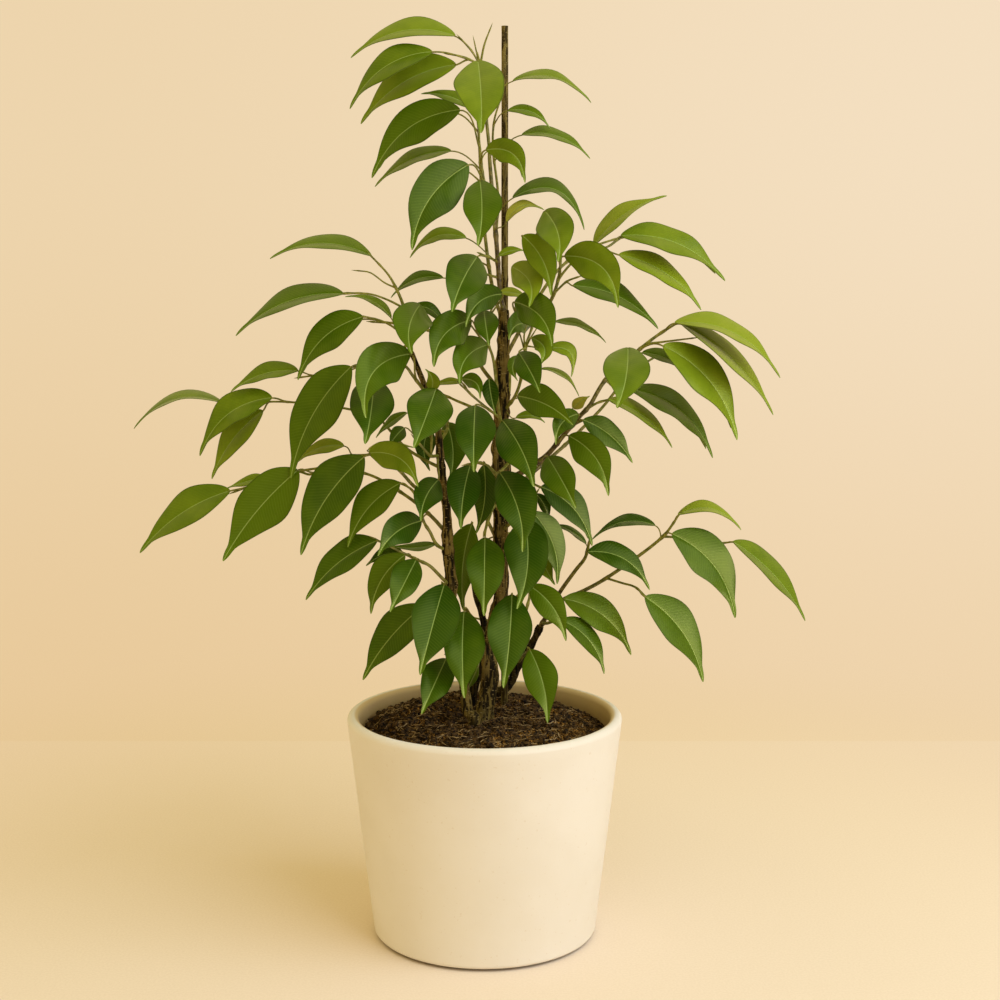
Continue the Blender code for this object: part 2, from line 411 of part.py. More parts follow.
class LeafShape:
    """The middle surface of one leaf: a curved midrib with two halves folded up along it."""

    def __init__(self, row, shift, spines):
        depth = row.depth * MM + shift
        scale = (depth - EYE.y) / VIEW_FOCAL_PX
        near = [at_depth(*spot, depth) for spot in (row.base, row.middle, row.tip)]
        first = (near[1] - near[0]).length
        second = (near[2] - near[1]).length
        seen_length = first + second
        seen_width = row.width * scale
        length = max(seen_length, min(LEAF_LENGTH, seen_width / LEAF_WIDTH_SHARE))
        reach = math.sqrt(length ** 2 - seen_length ** 2)
        self.toward = row.toward
        self.base = near[0]
        middle = at_depth(*row.middle, depth + row.toward * reach * MIDDLE_SHARE_OF_DEPTH)
        self.tip = at_depth(*row.tip, depth + row.toward * reach)
        share = first / seen_length
        self.control = (middle - (1 - share) ** 2 * self.base - share ** 2 * self.tip)
        self.control /= 2 * share * (1 - share)
        full_width = max(seen_width, min(LEAF_WIDTH_SHARE * length, seen_width * MOST_TURNED))
        self.half_width = full_width / 2
        self.turn = math.acos(min(1.0, seen_width / full_width))
        outward = 1.0 if self.tip.x > self.base.x else -1.0
        scores = []
        for sign in (1.0, -1.0):
            self.sign = sign
            normal = self.frame(0.5)[2]
            scores.append((normal.z + OUTWARD_LEAN * outward * normal.x, sign))
        self.sign = max(scores)[1]
        feet = [nearest_on(points, radii, self.base) for points, radii in spines]
        self.foot = min(feet, key=lambda found: found[2])[0]
        self.stalked = (self.foot - self.base).length > SHORT_PETIOLE
        self.wide = row.toward < 0 and row.width > WIDE_LEAF_PX

    def midrib(self, t):
        return self.base * (1 - t) ** 2 + self.control * (2 * t * (1 - t)) + self.tip * t ** 2

    def frame(self, t):
        """Tangent, sideways direction and upward normal of the blade."""
        tangent = (self.control - self.base) * (1 - t) + (self.tip - self.control) * t
        tangent.normalize()
        look = (self.midrib(t) - EYE).normalized()
        side = tangent.cross(look).normalized()
        face = side.cross(tangent).normalized()
        if face.dot(look) * -self.toward > 0:
            face.negate()
        turn = self.turn * self.sign
        lateral = side * math.cos(turn) + face * math.sin(turn)
        normal = face * math.cos(turn) - side * math.sin(turn)
        return tangent, lateral, normal

    def surface(self, u, t, grow=0.0):
        """Point of the blade at share u of its half-width, and the way up there.

        A station before the blade's base is the root of its stalk, on the twig.
        """
        tangent, lateral, normal = self.frame(max(0.0, t))
        if t <= 0 and self.stalked:
            run = (self.base - self.foot).normalized()
            bend = tangent.rotation_difference(run if t < 0 else (run + tangent).normalized())
            lateral = bend @ lateral
            normal = bend @ normal
        if t < 0 or (t == 0 and not self.stalked):
            return self.foot + lateral * u * (PETIOLE_HALF_WIDTH + grow), normal
        reach = u * (self.half_width * outline(t) * FACET_ALLOWANCE + grow)
        point = self.midrib(t) + lateral * reach * math.cos(FOLD_ANGLE)
        return point + normal * abs(reach) * math.sin(FOLD_ANGLE), normal


def new_material(name, colour, roughness):
    material = bpy.data.materials.new(name)
    material.use_nodes = True
    shader = material.node_tree.nodes["Principled BSDF"]
    shader.inputs["Base Color"].default_value = (*colour, 1.0)
    shader.inputs["Roughness"].default_value = roughness
    material.diffuse_color = (*colour, 1.0)
    return material


def add_object(name, mesh_data, material=None, smooth=False):
    """Turn a finished bmesh into an object of the scene."""
    mesh = bpy.data.meshes.new(name)
    mesh_data.to_mesh(mesh)
    mesh_data.free()
    piece = bpy.data.objects.new(name, mesh)
    bpy.context.scene.collection.objects.link(piece)
    if material:
        mesh.materials.append(material)
    if smooth:
        mesh.shade_smooth()
        mesh.set_sharp_from_angle(angle=math.radians(40))
    return piece


def blade(shape, half_thickness, grow=0.0, bare=False):
    """Closed leaf blade with its stalk: a grid laid on the leaf, extruded to its thickness."""
    solid = bmesh.new()
    stations = WIDE_STATIONS if shape.wide else NARROW_STATIONS
    if shape.stalked and not bare:
        stations = (-1.0,) + stations
    rows = len(stations) - 1
    bmesh.ops.create_grid(solid, x_segments=2 if shape.wide else 1, y_segments=rows, size=1)
    up = solid.verts.layers.float_vector.new("up")
    for vert in solid.verts:
        station = stations[round((vert.co.y + 1) / 2 * rows)]
        point, normal = shape.surface(vert.co.x, station, grow)
        vert.co = point - normal * half_thickness
        vert[up] = normal
    bmesh.ops.triangulate(solid, faces=solid.faces[:])
    lifted = bmesh.ops.extrude_face_region(solid, geom=solid.faces[:])["geom"]
    for vert in lifted:
        if isinstance(vert, bmesh.types.BMVert):
            vert.co += vert[up] * 2 * half_thickness
    bmesh.ops.triangulate(solid, faces=solid.faces[:])
    bmesh.ops.recalc_face_normals(solid, faces=solid.faces[:])
    return solid


def tube(points, radii, sides):
    """Closed tube along points, its sides kept parallel from ring to ring."""
    solid = bmesh.new()
    rings = []
    frame = None
    for index, point in enumerate(points):
        ahead = points[min(index + 1, len(points) - 1)]
        behind = points[max(index - 1, 0)]
        tangent = (ahead - behind).normalized()
        if frame is None:
            frame = tangent.to_track_quat("Z", "Y")
        else:
            frame = (frame @ Vector((0, 0, 1))).rotation_difference(tangent) @ frame
        place = Matrix.Translation(point) @ frame.to_matrix().to_4x4()
        ring = bmesh.ops.create_circle(solid, segments=sides, radius=radii[index], matrix=place)
        rings.append(ring["verts"])
    for lower, upper in zip(rings, rings[1:]):
        for k in range(sides):
            solid.faces.new((lower[k], lower[k - 1], upper[k - 1], upper[k]))
    solid.faces.new(rings[0])
    solid.faces.new(rings[-1])
    bmesh.ops.triangulate(solid, faces=solid.faces[:])
    bmesh.ops.recalc_face_normals(solid, faces=solid.faces[:])
    return solid


def spine(rows):
    """Points and radii of a stem or twig from its rows of x, y, depth and radius."""
    points = [at_depth(x, y, depth * MM) for x, y, depth, radius in rows]
    radii = [radius * MM for x, y, depth, radius in rows]
    return points, radii


def nearest_on(points, radii, spot):
    """Nearest point of a spine to a spot, short of its end, with its radius and distance."""
    best = None
    for start, end, radius_a, radius_b in zip(points, points[1:], radii, radii[1:]):
        along = end - start
        last = 1.0 - END_MARGIN / along.length if end is points[-1] else 1.0
        share = max(0.0, min(last, (spot - start).dot(along) / along.length_squared))
        foot = start + along * share
        distance = (spot - foot).length
        if best is None or distance < best[2]:
            best = (foot, radius_a + (radius_b - radius_a) * share, distance)
    return best


def seat_on(points, radii, stem_tree):
    """Cut a twig's root back to where it just clears the stem that carries it."""
    start, end = points[:2]
    turn = (end - start).to_track_quat("Z", "Y")
    rim = [turn @ Vector((math.cos(angle), math.sin(angle), 0)) * radii[0]
           for angle in (k * math.pi / 6 for k in range(12))]
    for step in range(SEAT_STEPS):
        spot = start.lerp(end, step / SEAT_STEPS)
        skin, outward = stem_tree.find_nearest(spot)[:2]
        along = [spot.lerp(end, share / 10) for share in range(11)]
        clear = min(stem_tree.find_nearest(place + offset)[3] for place in along for offset in rim)
        if (spot - skin).dot(outward) > 0 and clear >= GAP:
            break
    return [spot] + points[1:], radii


def settle_leaves(sprays, spines, obstacles):
    """Give each leaf the depth nearest to its own at which it clears what is there already."""
    rows = [(node, row) for node, spray in sprays.items() for row in spray.leaves]
    rows.sort(key=lambda entry: (entry[1].toward > 0, entry[1].depth))
    placed = []
    shifts = {}
    for node, row in rows:
        found = None
        for attempt in range(2 * SETTLE_TRIES):
            size = (attempt + 1) // 2 * SETTLE_STEP
            shift = size if attempt % 2 else -size
            shape = LeafShape(row, shift, spines[node])
            trees = []
            for bare in (False, True):
                body = blade(shape, BLADE_THICKNESS / 2 + LEAF_CLEARANCE, LEAF_CLEARANCE, bare)
                trees.append(BVHTree.FromBMesh(body))
                body.free()
            if any(trees[0].overlap(other) for owner, other in obstacles if owner != node):
                continue
            if any(trees[0].overlap(other[0]) for owner, other in placed if owner != node):
                continue
            crossed = any(trees[1].overlap(other[1]) for owner, other in placed if owner == node)
            if not crossed:
                found = (shift, trees, False)
                break
            found = found or (shift, trees, True)
        if found is None:
            print("leaf left out:", node, row.name)
            continue
        if abs(found[0]) > 3 * SETTLE_STEP or found[2]:
            print("leaf:", node, row.name, round(found[0] / MM), "crossed" if found[2] else "")
        shifts[row.name] = found[0]
        placed.append((node, found[1]))
    return shifts


def hidden_leaf(row, depth):
    """A leaf at the back, hidden by a front leaf: its place, a little smaller, facing away."""
    centre = Vector(row.middle)
    shrink = [tuple(centre + (Vector(spot) - centre) * BEHIND_SCALE)
              for spot in (row.base, row.middle, row.tip)]
    return Leaf("back_" + row.name, *shrink, row.width * BEHIND_SHADOW, depth, 1.0)


def all_sprays():
    """Every spray, front and back, by its node's name."""
    sprays = dict(SPRAYS)
    front = {row.name: row for spray in SPRAYS.values() for row in spray.leaves}
    for name, (seat, twigs, hidden) in BACK_SPRAYS.items():
        leaves = tuple(hidden_leaf(front[key], depth) for key, depth in hidden)
        sprays[name] = Spray(seat, twigs, leaves)
    return sprays


def stem_spine(name):
    """A stem's buried straight foot, then its run above the soil."""
    (px, py), rows = STEMS[name]
    points, radii = spine(rows)
    entry = at_height(px, py, SOIL_TOP + SOIL_MOUND)
    foot = [entry - Vector((0, 0, BURIED_DEPTH)), entry + Vector((0, 0, STEM_FOOT_LIFT))]
    return foot + points, [radii[0]] * 2 + radii


def turned(name, profile, sides, material):
    """Solid turned about the upright axis from a profile that starts and ends on it."""
    solid = bmesh.new()
    verts = [solid.verts.new((radius, 0, height)) for radius, height in profile]
    edges = [solid.edges.new(pair) for pair in zip(verts, verts[1:])]
    bmesh.ops.spin(solid, geom=verts + edges, axis=(0, 0, 1), cent=(0, 0, 0),
                   angle=math.tau, steps=sides, use_merge=True)
    bmesh.ops.remove_doubles(solid, verts=solid.verts[:], dist=1e-6)
    bmesh.ops.dissolve_degenerate(solid, edges=solid.edges[:], dist=1e-6)
    bmesh.ops.triangulate(solid, faces=solid.faces[:])
    bmesh.ops.recalc_face_normals(solid, faces=solid.faces[:])
    return add_object(name, solid, material, smooth=True)


def wall_radius(height, inset=0.0):
    """Radius of the pot's outer wall at a height, less an inset."""
    share = height / POT_HEIGHT
    return POT_BASE_RADIUS + (POT_TOP_RADIUS - POT_BASE_RADIUS) * share - inset


def build_pot(material):
    rim = POT_WALL / 2
    rim_height = POT_HEIGHT - rim
    profile = [(0, 0), (POT_FOOT_RADIUS, 0), (POT_FOOT_RADIUS + FOOT_STEP, POT_FOOT_HEIGHT),
               (POT_BASE_RADIUS - 2 * FOOT_STEP, POT_FOOT_HEIGHT + FOOT_STEP),
               (wall_radius(POT_BASE_ROUND), POT_BASE_ROUND), (wall_radius(rim_height), rim_height)]
    for step in range(1, RIM_ARC_STEPS):
        angle = math.pi * step / RIM_ARC_STEPS
        centre = wall_radius(rim_height, rim)
        profile.append((centre + rim * math.cos(angle), rim_height + rim * math.sin(angle)))
    profile.append((wall_radius(rim_height, POT_WALL), rim_height))
    profile.append((wall_radius(POT_FLOOR, POT_WALL), POT_FLOOR))
    profile.append((0, POT_FLOOR))
    return turned("pot", profile, POT_SIDES, material)


def soil_height(x, y):
    """Level of the soil: a low mound with lumps that fade towards the wall."""
    share = min(1.0, math.hypot(x, y) / wall_radius(SOIL_TOP, POT_WALL))
    mound = SOIL_MOUND * (1 - share ** SOIL_SHOULDER)
    lump = SOIL_LUMP * noise(Vector((x, y, 0.4)) * SOIL_LUMPS_PER_METRE)
    return SOIL_TOP + mound + lump


def build_soil(material, stem_spines, cane_foot):
    floor = POT_FLOOR + GAP
    radius_low = wall_radius(floor, POT_WALL + SOIL_WALL_GAP)
    radius_top = wall_radius(SOIL_TOP, POT_WALL + SOIL_WALL_GAP)
    profile = [(0, floor), (radius_low, floor)]
    for ring in range(SOIL_RINGS):
        profile.append((radius_top * (1 - ring / SOIL_RINGS), SOIL_TOP))
    profile.append((0, SOIL_TOP))
    soil = turned("soil", profile, SOIL_SIDES, material)
    for vert in soil.data.vertices:
        if vert.co.z > SOIL_TOP - 1 * MM:
            vert.co.z = soil_height(vert.co.x, vert.co.y)
    for foot, radius in [(points[0], radii[0]) for points, radii in stem_spines] + [cane_foot]:
        low = foot - Vector((0, 0, GAP))
        high = foot + Vector((0, 0, BURIED_DEPTH * 2))
        reach = (radius + GAP) / math.cos(math.pi / HOLE_SIDES)
        hole = add_object("hole", tube([low, high], [reach] * 2, HOLE_SIDES))
        combine(soil, "DIFFERENCE", hole)
        bpy.data.objects.remove(hole)
    return soil


def combine(piece, operation, other, solver="EXACT"):
    """Boolean with an object or a collection, applied to the mesh."""
    cut = piece.modifiers.new("combine", "BOOLEAN")
    cut.operation = operation
    cut.solver = solver
    if isinstance(other, bpy.types.Collection):
        cut.operand_type = "COLLECTION"
        cut.collection = other
    else:
        cut.object = other
    graph = bpy.context.evaluated_depsgraph_get()
    result = bpy.data.meshes.new_from_object(piece.evaluated_get(graph))
    piece.modifiers.clear()
    old = piece.data
    piece.data = result
    bpy.data.meshes.remove(old)


def drop_scraps(piece):
    """Keep only the largest connected body of a fused mesh, as triangles."""
    solid = bmesh.new()
    solid.from_mesh(piece.data)
    left = set(solid.faces)
    bodies = []
    while left:
        stack = [left.pop()]
        body = set(stack)
        while stack:
            for edge in stack.pop().edges:
                near = left.intersection(edge.link_faces)
                left -= near
                body |= near
                stack.extend(near)
        bodies.append(body)
    bodies.sort(key=len)
    if len(bodies) > 1:
        print("scraps dropped:", piece.name, [len(body) for body in bodies[:-1]])
    bmesh.ops.delete(solid, geom=[face for body in bodies[:-1] for face in body], context="FACES")
    bmesh.ops.dissolve_limit(solid, angle_limit=FLAT_ANGLE, verts=solid.verts, edges=solid.edges)
    bmesh.ops.triangulate(solid, faces=solid.faces[:])
    solid.to_mesh(piece.data)
    solid.free()


def build_spray(name, spray, spines, shifts, material):
    """Fuse a spray's twigs, petioles and blades into one solid."""
    group = bpy.data.collections.new(name + "_pieces")
    bpy.context.scene.collection.children.link(group)

    def keep(solid):
        part = add_object(name + "_piece", solid)
        bpy.context.scene.collection.objects.unlink(part)
        group.objects.link(part)

    points, radii = spines[0]
    piece = add_object(name, tube(points, radii, MAIN_TWIG_SIDES), material)
    for points, radii in spines[1:]:
        keep(tube(points, radii, SIDE_TWIG_SIDES))
    for row in spray.leaves:
        if row.name in shifts:
            keep(blade(LeafShape(row, shifts[row.name], spines), BLADE_THICKNESS / 2))
    combine(piece, "UNION", group, "MANIFOLD")
    for part in list(group.objects):
        bpy.data.objects.remove(part)
    bpy.data.collections.remove(group)
    drop_scraps(piece)
    return piece


def main():
    for item in list(bpy.data.objects):
        bpy.data.objects.remove(item)
    ceramic = new_material("cream_ceramic", (0.78, 0.72, 0.62), 0.45)
    peat = new_material("peat", (0.06, 0.035, 0.02), 0.95)
    bark = new_material("bark", (0.16, 0.10, 0.05), 0.85)
    stick = new_material("cane", (0.09, 0.05, 0.03), 0.8)
    leaf_green = new_material("leaf_green", (0.07, 0.17, 0.02), 0.35)

    stem_spines = {name: stem_spine(name) for name in STEMS}
    cane_top = at_depth(*CANE_SEEN, CANE_DEPTH)
    cane_low = Vector((cane_top.x, cane_top.y, SOIL_TOP + SOIL_MOUND - BURIED_DEPTH))
    build_pot(ceramic)
    build_soil(peat, list(stem_spines.values()), (cane_low, CANE_RADIUS))
    cane = tube([cane_low, cane_top], [CANE_RADIUS] * 2, CANE_SIDES)
    obstacles = [("cane", BVHTree.FromBMesh(cane))]
    add_object("cane", cane, stick, smooth=True)
    stem_trees = {}
    for name, (points, radii) in stem_spines.items():
        solid = tube(points, radii, STEM_SIDES)
        stem_trees[name] = BVHTree.FromBMesh(solid)
        obstacles.append((name, stem_trees[name]))
        add_object(name, solid, bark, smooth=True)
    for name in ("pot", "soil"):
        solid = bmesh.new()
        solid.from_mesh(bpy.data.objects[name].data)
        obstacles.append((name, BVHTree.FromBMesh(solid)))
        solid.free()

    sprays = all_sprays()
    spray_spines = {}
    for name, spray in sprays.items():
        spines = [spine(rows) for rows in spray.twigs]
        spines[0] = seat_on(*spines[0], stem_trees[spray.seat])
        for index in range(1, len(spines)):
            feet = [nearest_on(*earlier, spines[index][0][0]) for earlier in spines[:index]]
            spines[index][0][0] = min(feet, key=lambda found: found[2])[0]
        spray_spines[name] = spines
        for index, (points, radii) in enumerate(spines):
            solid = tube(points, [radius + GAP * (index > 0) for radius in radii], 6)
            tree = BVHTree.FromBMesh(solid)
            solid.free()
            for owner, other in obstacles:
                if owner != name and tree.overlap(other):
                    print("twig meets:", name, index, owner)
            obstacles.append((name, tree))
    shifts = settle_leaves(sprays, spray_spines, obstacles)
    total = 0
    for name, spray in sprays.items():
        piece = build_spray(name, spray, spray_spines[name], shifts, leaf_green)
        total += len(piece.data.polygons)
    print("spray triangles:", total, "leaves:", len(shifts))


main()
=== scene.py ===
"""The looks of the potted weeping fig: glazed pot, peat, cane, bark, green twigs and fine leaves.

Stems, twigs and leaves repeat the rows that the solids were built from: each is named where it is
seen from the viewing point, in pixels of a 1000 x 1000 frame, with its depth in millimetres.
"""
import math
import random
from collections import namedtuple

import bmesh
import bpy
from mathutils import Matrix, Vector
from mathutils.kdtree import KDTree
from mathutils.noise import fractal, noise


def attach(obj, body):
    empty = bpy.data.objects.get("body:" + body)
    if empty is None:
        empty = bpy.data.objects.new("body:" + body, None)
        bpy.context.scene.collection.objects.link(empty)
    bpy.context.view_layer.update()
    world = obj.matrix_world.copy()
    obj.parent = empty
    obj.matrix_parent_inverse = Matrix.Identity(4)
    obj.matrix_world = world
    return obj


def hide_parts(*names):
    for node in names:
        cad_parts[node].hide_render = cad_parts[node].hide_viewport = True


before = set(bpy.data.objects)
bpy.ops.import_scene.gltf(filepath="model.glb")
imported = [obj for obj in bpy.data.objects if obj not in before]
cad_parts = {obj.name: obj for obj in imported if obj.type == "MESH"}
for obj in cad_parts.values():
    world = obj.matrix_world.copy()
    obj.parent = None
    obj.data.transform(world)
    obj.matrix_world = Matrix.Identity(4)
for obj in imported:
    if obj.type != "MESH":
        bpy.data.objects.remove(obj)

MM = 0.001
BODY = "root"

# Viewing point
EYE = Vector((10.5 * MM, -1110.0 * MM, 453.0 * MM))
VIEW_PITCH = math.radians(7.7)
VIEW_FOCAL_PX = 1651.0
VIEW_CENTRE_PX = 500.0
VIEW_WIDTH_PX = 1000.0

# Pot
POT_HEIGHT = 155.5 * MM
POT_TOP_RADIUS = 95.0 * MM
POT_BASE_RADIUS = 77.0 * MM
POT_FOOT_RADIUS = 73.0 * MM
POT_FOOT_HEIGHT = 1.6 * MM
POT_WALL = 8.0 * MM
POT_FLOOR = 10.0 * MM
POT_EDGE = 3.2 * MM
POT_FOOT_EDGE = 0.5 * MM
POT_CORNER = 6.0 * MM
POT_CORNER_BEND = 1.5 * MM
POT_STEPS = 144
POT_WAVE = 0.25 * MM
POT_WAVES_PER_METRE = 16.0
WELD = 1e-6

# Soil
SOIL_TOP = 141.5 * MM
SOIL_MOUND = 8.0 * MM
SOIL_SHOULDER = 3.0
SOIL_LUMP = 1.6 * MM
SOIL_LUMPS_PER_METRE = 62.0
SOIL_WALL_GAP = 0.55 * MM
SOIL_FLOOR_GAP = 0.4 * MM
SOIL_CORNER_WIDTH = 4.0 * MM
SOIL_CORNER_HEIGHT = 8.0 * MM
SOIL_HEAP = 6.0 * MM
HEAP_TURN = 0.35
HEAP_SLOPE = 1.6
HEAP_SHOULDER = 10
SOIL_ROUGH = 1.25 * MM
SOIL_GRAIN_PER_METRE = 190.0
SOIL_GRAIN_FRACTAL = (0.85, 2.1, 5)
SOIL_RINGS = 84
SOIL_STEPS = 300
SOIL_SEED = 41
CRUMB_COUNT = 2400
CRUMB_MARGIN = 3.0 * MM
CRUMB_SIZES_MM = (0.5, 0.7, 0.9, 1.2, 1.7, 2.6)
CRUMB_WIDTHS = (0.6, 0.9)
CRUMB_HEIGHTS = (0.45, 0.8)
CRUMB_LIFT = 0.25
CRUMB_TILT = 0.6
CRUMB_DENT = 0.3
STRAND_COUNTS = (("root_fibres", 460), ("straw_bits", 60), ("bark_bits", 26))
STRAND_MARGIN = 7.0 * MM
STRAND_CLEARANCE = 2.0 * MM
STRAND_LENGTHS_MM = (4, 15)
STRAND_RADII_MM = (0.12, 0.26)
STRAND_LIFTS_MM = (0.3, 1.4)
STRAND_CURL = 0.9
STRAND_GROWTH = 0.4
STRAND_TAPER = (1, 1.2, 1, 0.9, 0.5)
# Dark peat for the damp patches and for painted shade
DAMP_AND_SHADED_PEAT = (0.010, 0.0055, 0.0015)
BURIED_DEPTH = 25.0 * MM
STEM_FOOT_LIFT = 4.0 * MM

# Cane and stems
CANE_SEEN = (504.8, 26.0)
CANE_DEPTH = 31.0 * MM
CANE_RADIUS = 2.4 * MM
CANE_RINGS = 150
CANE_SIDES = 16
CANE_SWAY = 0.25 * MM
CANE_FOOT_SHARE = 1.04
CANE_TAPER = 0.10
CANE_ROUGH = 0.03
CANE_JOINT_RISE = 0.10
CANE_JOINTS = (0.27, 0.47, 0.66, 0.84)
CANE_JOINT_REACH = 0.004
STEM_SIDES = 22
STEM_STEP = 1.3 * MM
STEM_FLARE = 0.30
STEM_FLARE_REACH = 6.0 * MM
KNOT_RISE = 0.20
KNOT_REACH = 3.2 * MM
MOST_KNOT = 0.45

# Twigs and leaf stalks; a bud's rings are given by how far ahead they lie and how thick they are
TWIG_SIDES = 8
TWIG_STEP = 2.2 * MM
THICK_TWIG_MM = 0.9
THICK_TWIG_SLIMMING = 0.16
BROWN_FROM_MM = 1.15
BROWN_OVER_MM = 0.65
JOINT_SWELL = 0.28
JOINT_REACH = 1.6 * MM
BUD_RINGS = ((-1.0 * MM, 1.0), (1.5 * MM, 1.15), (4.0 * MM, 0.7), (6.5 * MM, 0.12))
STALK_SIDES = 6
STALK_STEPS = 9

# Bark relief: how high each grain rises, as a share of the radius, its cells a metre around and along
BARK_GRAINS = ((0.16, 260, 45), (0.10, 640, 90), (0.07, 620, 620))

# Backdrop, floor and light, in linear colour
# The backdrop colours paint light on the wall: lighter to the right, deeper lower down, lighter where the
# sight dips steeply
BACKDROP_LEFT = (0.850, 0.662, 0.418)
BACKDROP_RIGHT = (0.905, 0.740, 0.530)
BACKDROP_LOW = (0.945, 0.870, 0.745)
BACKDROP_NEAR = (1.08, 1.10, 1.22)
FLOOR_COLOUR = (0.82, 0.68, 0.530)
FLOOR_RADIUS = 9.0
FLOOR_FADE = (0.30, 0.90)
WALL_FOOT = 469.0 * MM
STUDIO_COLOUR = (1.0, 0.825, 0.40)
STUDIO_STRENGTH = 0.82
LAMP_AIM = Vector((0, 0, 0.30))

# Leaves
BLADE_THICKNESS = 0.4 * MM
BLADE_GRID = (14, 30)
SMALL_BLADE_GRID = (8, 22)
SMALL_LEAF_PX = 13
LEAF_LENGTH = 74.0 * MM
LEAF_WIDTH_SHARE = 0.42
MOST_TURNED = 5.5
OUTWARD_LEAN = 0.3
DRIP_START = 0.88
BLUNT_BASE = 0.78
DRIP_TAPER = 2.0
FOLD_RISE = 0.19
EDGE_CURL = 0.07
RIPPLE_WAVES = (1.2, 2.2)
RIPPLE_LIFT = (0.02, 0.06)
NOTCH_WAVES = 2.2
NOTCH_DEPTH = 0.035
MOST_LOPSIDED = 0.09
RIM_SHARE = 0.975
MIDRIB_GROOVE = 0.22 * MM
MIDRIB_GROOVE_REACH = 0.7 * MM
MIDRIB_RIDGE = 0.45 * MM
MIDRIB_RIDGE_REACH = 0.55 * MM
VEIN_SPACING = 2.3 * MM
VEIN_SLANT = 0.72
VEIN_SWAY = 1.6 * MM
PETIOLE_RADIUS = 0.62 * MM
PETIOLE_BROWN = 0.12
PETIOLE_FOOT_SHARE = 1.35
PETIOLE_TAPER = 0.4
PETIOLE_LEAST = 0.55
PETIOLE_FULL_PX = 60
STALK_SLANT = 0.7
STALK_FORWARD = 0.6
STALK_PULL = 0.38
STALK_END = 0.015
END_MARGIN = 1.4 * MM
MIDDLE_SHARE_OF_DEPTH = 0.62
BEHIND_SCALE = 0.82
BEHIND_SHADOW = 0.84
SETTLE_STEP = 3.0 * MM
SETTLE_TRIES = 16

# How yellow each leaf is, from 0 for the darkest to 1.25 for the palest; the tones also hold painted shade
# (the darkest groups, for leaves deep in shade) and painted light (the 1.25 group, for leaves in cast
# shadows)
USUAL_TONE = 0.42
TONE_CHANGE = 0.04
LEAF_TONES_AND_PAINTED_LIGHT = (
    (0.02, "l44 l44b l64b m6"),
    (0.12, "l34 l36b l38 l40 l47 l48 l49 l50 l51 l54 l62 l63 l65 l78 l80 m7"),
    (0.22, "c4 c9 c13 l12 l17 l20 l33 l37 l39 l41 l46 l66 l68 l79 l81 m1 m8 t8"),
    (0.32, "c3 l2 l4 l6 l16 l22 l57 l58 l59 m2 r4 r8"),
    (0.56, "l1 l19 l56 l72 l75 r3 t2"),
    (0.66, "c2 c5 c10 l3b l5 l7 l8 l13 l31 l52 l60 r1 r2 r5b r7 r10 t4 t5 t7 t9"),
    (0.77, "c5b c6 c12 c15 c17 l9 l14 l27 l74 t1 t3"),
    (0.88, "c11 l71 r11"),
    (1.00, "c18 l15 l61 l76 l77 m5 r9"),
    (1.25, "l31b l70 r5a"),
)

Leaf = namedtuple("Leaf", "name base middle tip width depth toward")
Spray = namedtuple("Spray", "seat twigs leaves")

# Woody stems: where each enters the soil, then x, y, depth and radius along it.
STEMS = {
    "main_stem": ((484, 719), (
        (487, 700, 5, 5.6), (490, 675, 9, 6.2), (489, 650, 11, 5.2), (495, 620, 12.5, 4.7),
        (502, 585, 12, 4.6), (500, 555, 12, 4.3), (500, 520, 11, 4.3), (501, 490, 10, 4.9),
        (501, 466, 10, 6.1), (500, 440, 11, 5.1), (502, 400, 12, 4.6), (503, 350, 12, 4.1),
        (504, 310, 13, 3.0))),
    "left_stem": ((475, 726), (
        (468, 712, -13, 3.6), (465, 690, -9.5, 3.6), (458, 650, -7, 3.6), (452, 610, -8, 3.6),
        (451, 581, -10, 3.7), (448, 552, -11, 3.6), (447, 514, -12, 3.1), (441, 466, -14, 2.5),
        (437, 424, -15, 2.1), (425, 387, -15, 1.9), (417, 366, -15, 1.6), (411, 352, -15, 1.4))),
    "back_left_stem": ((472, 710), (
        (473, 692, 28, 3.2), (479, 670, 28, 3.0), (485, 640, 28, 2.8), (482, 615, 28, 2.4),
        (476, 596, 29, 2.0), (471, 566, 30, 1.6))),
    "right_stem": ((498, 701), (
        (504, 690, 48, 3.0), (512, 680, 46, 2.9), (518, 665, 44, 2.8), (528, 650, 42, 2.7),
        (534, 640, 40, 2.6), (540, 626, 38, 2.3))),
}

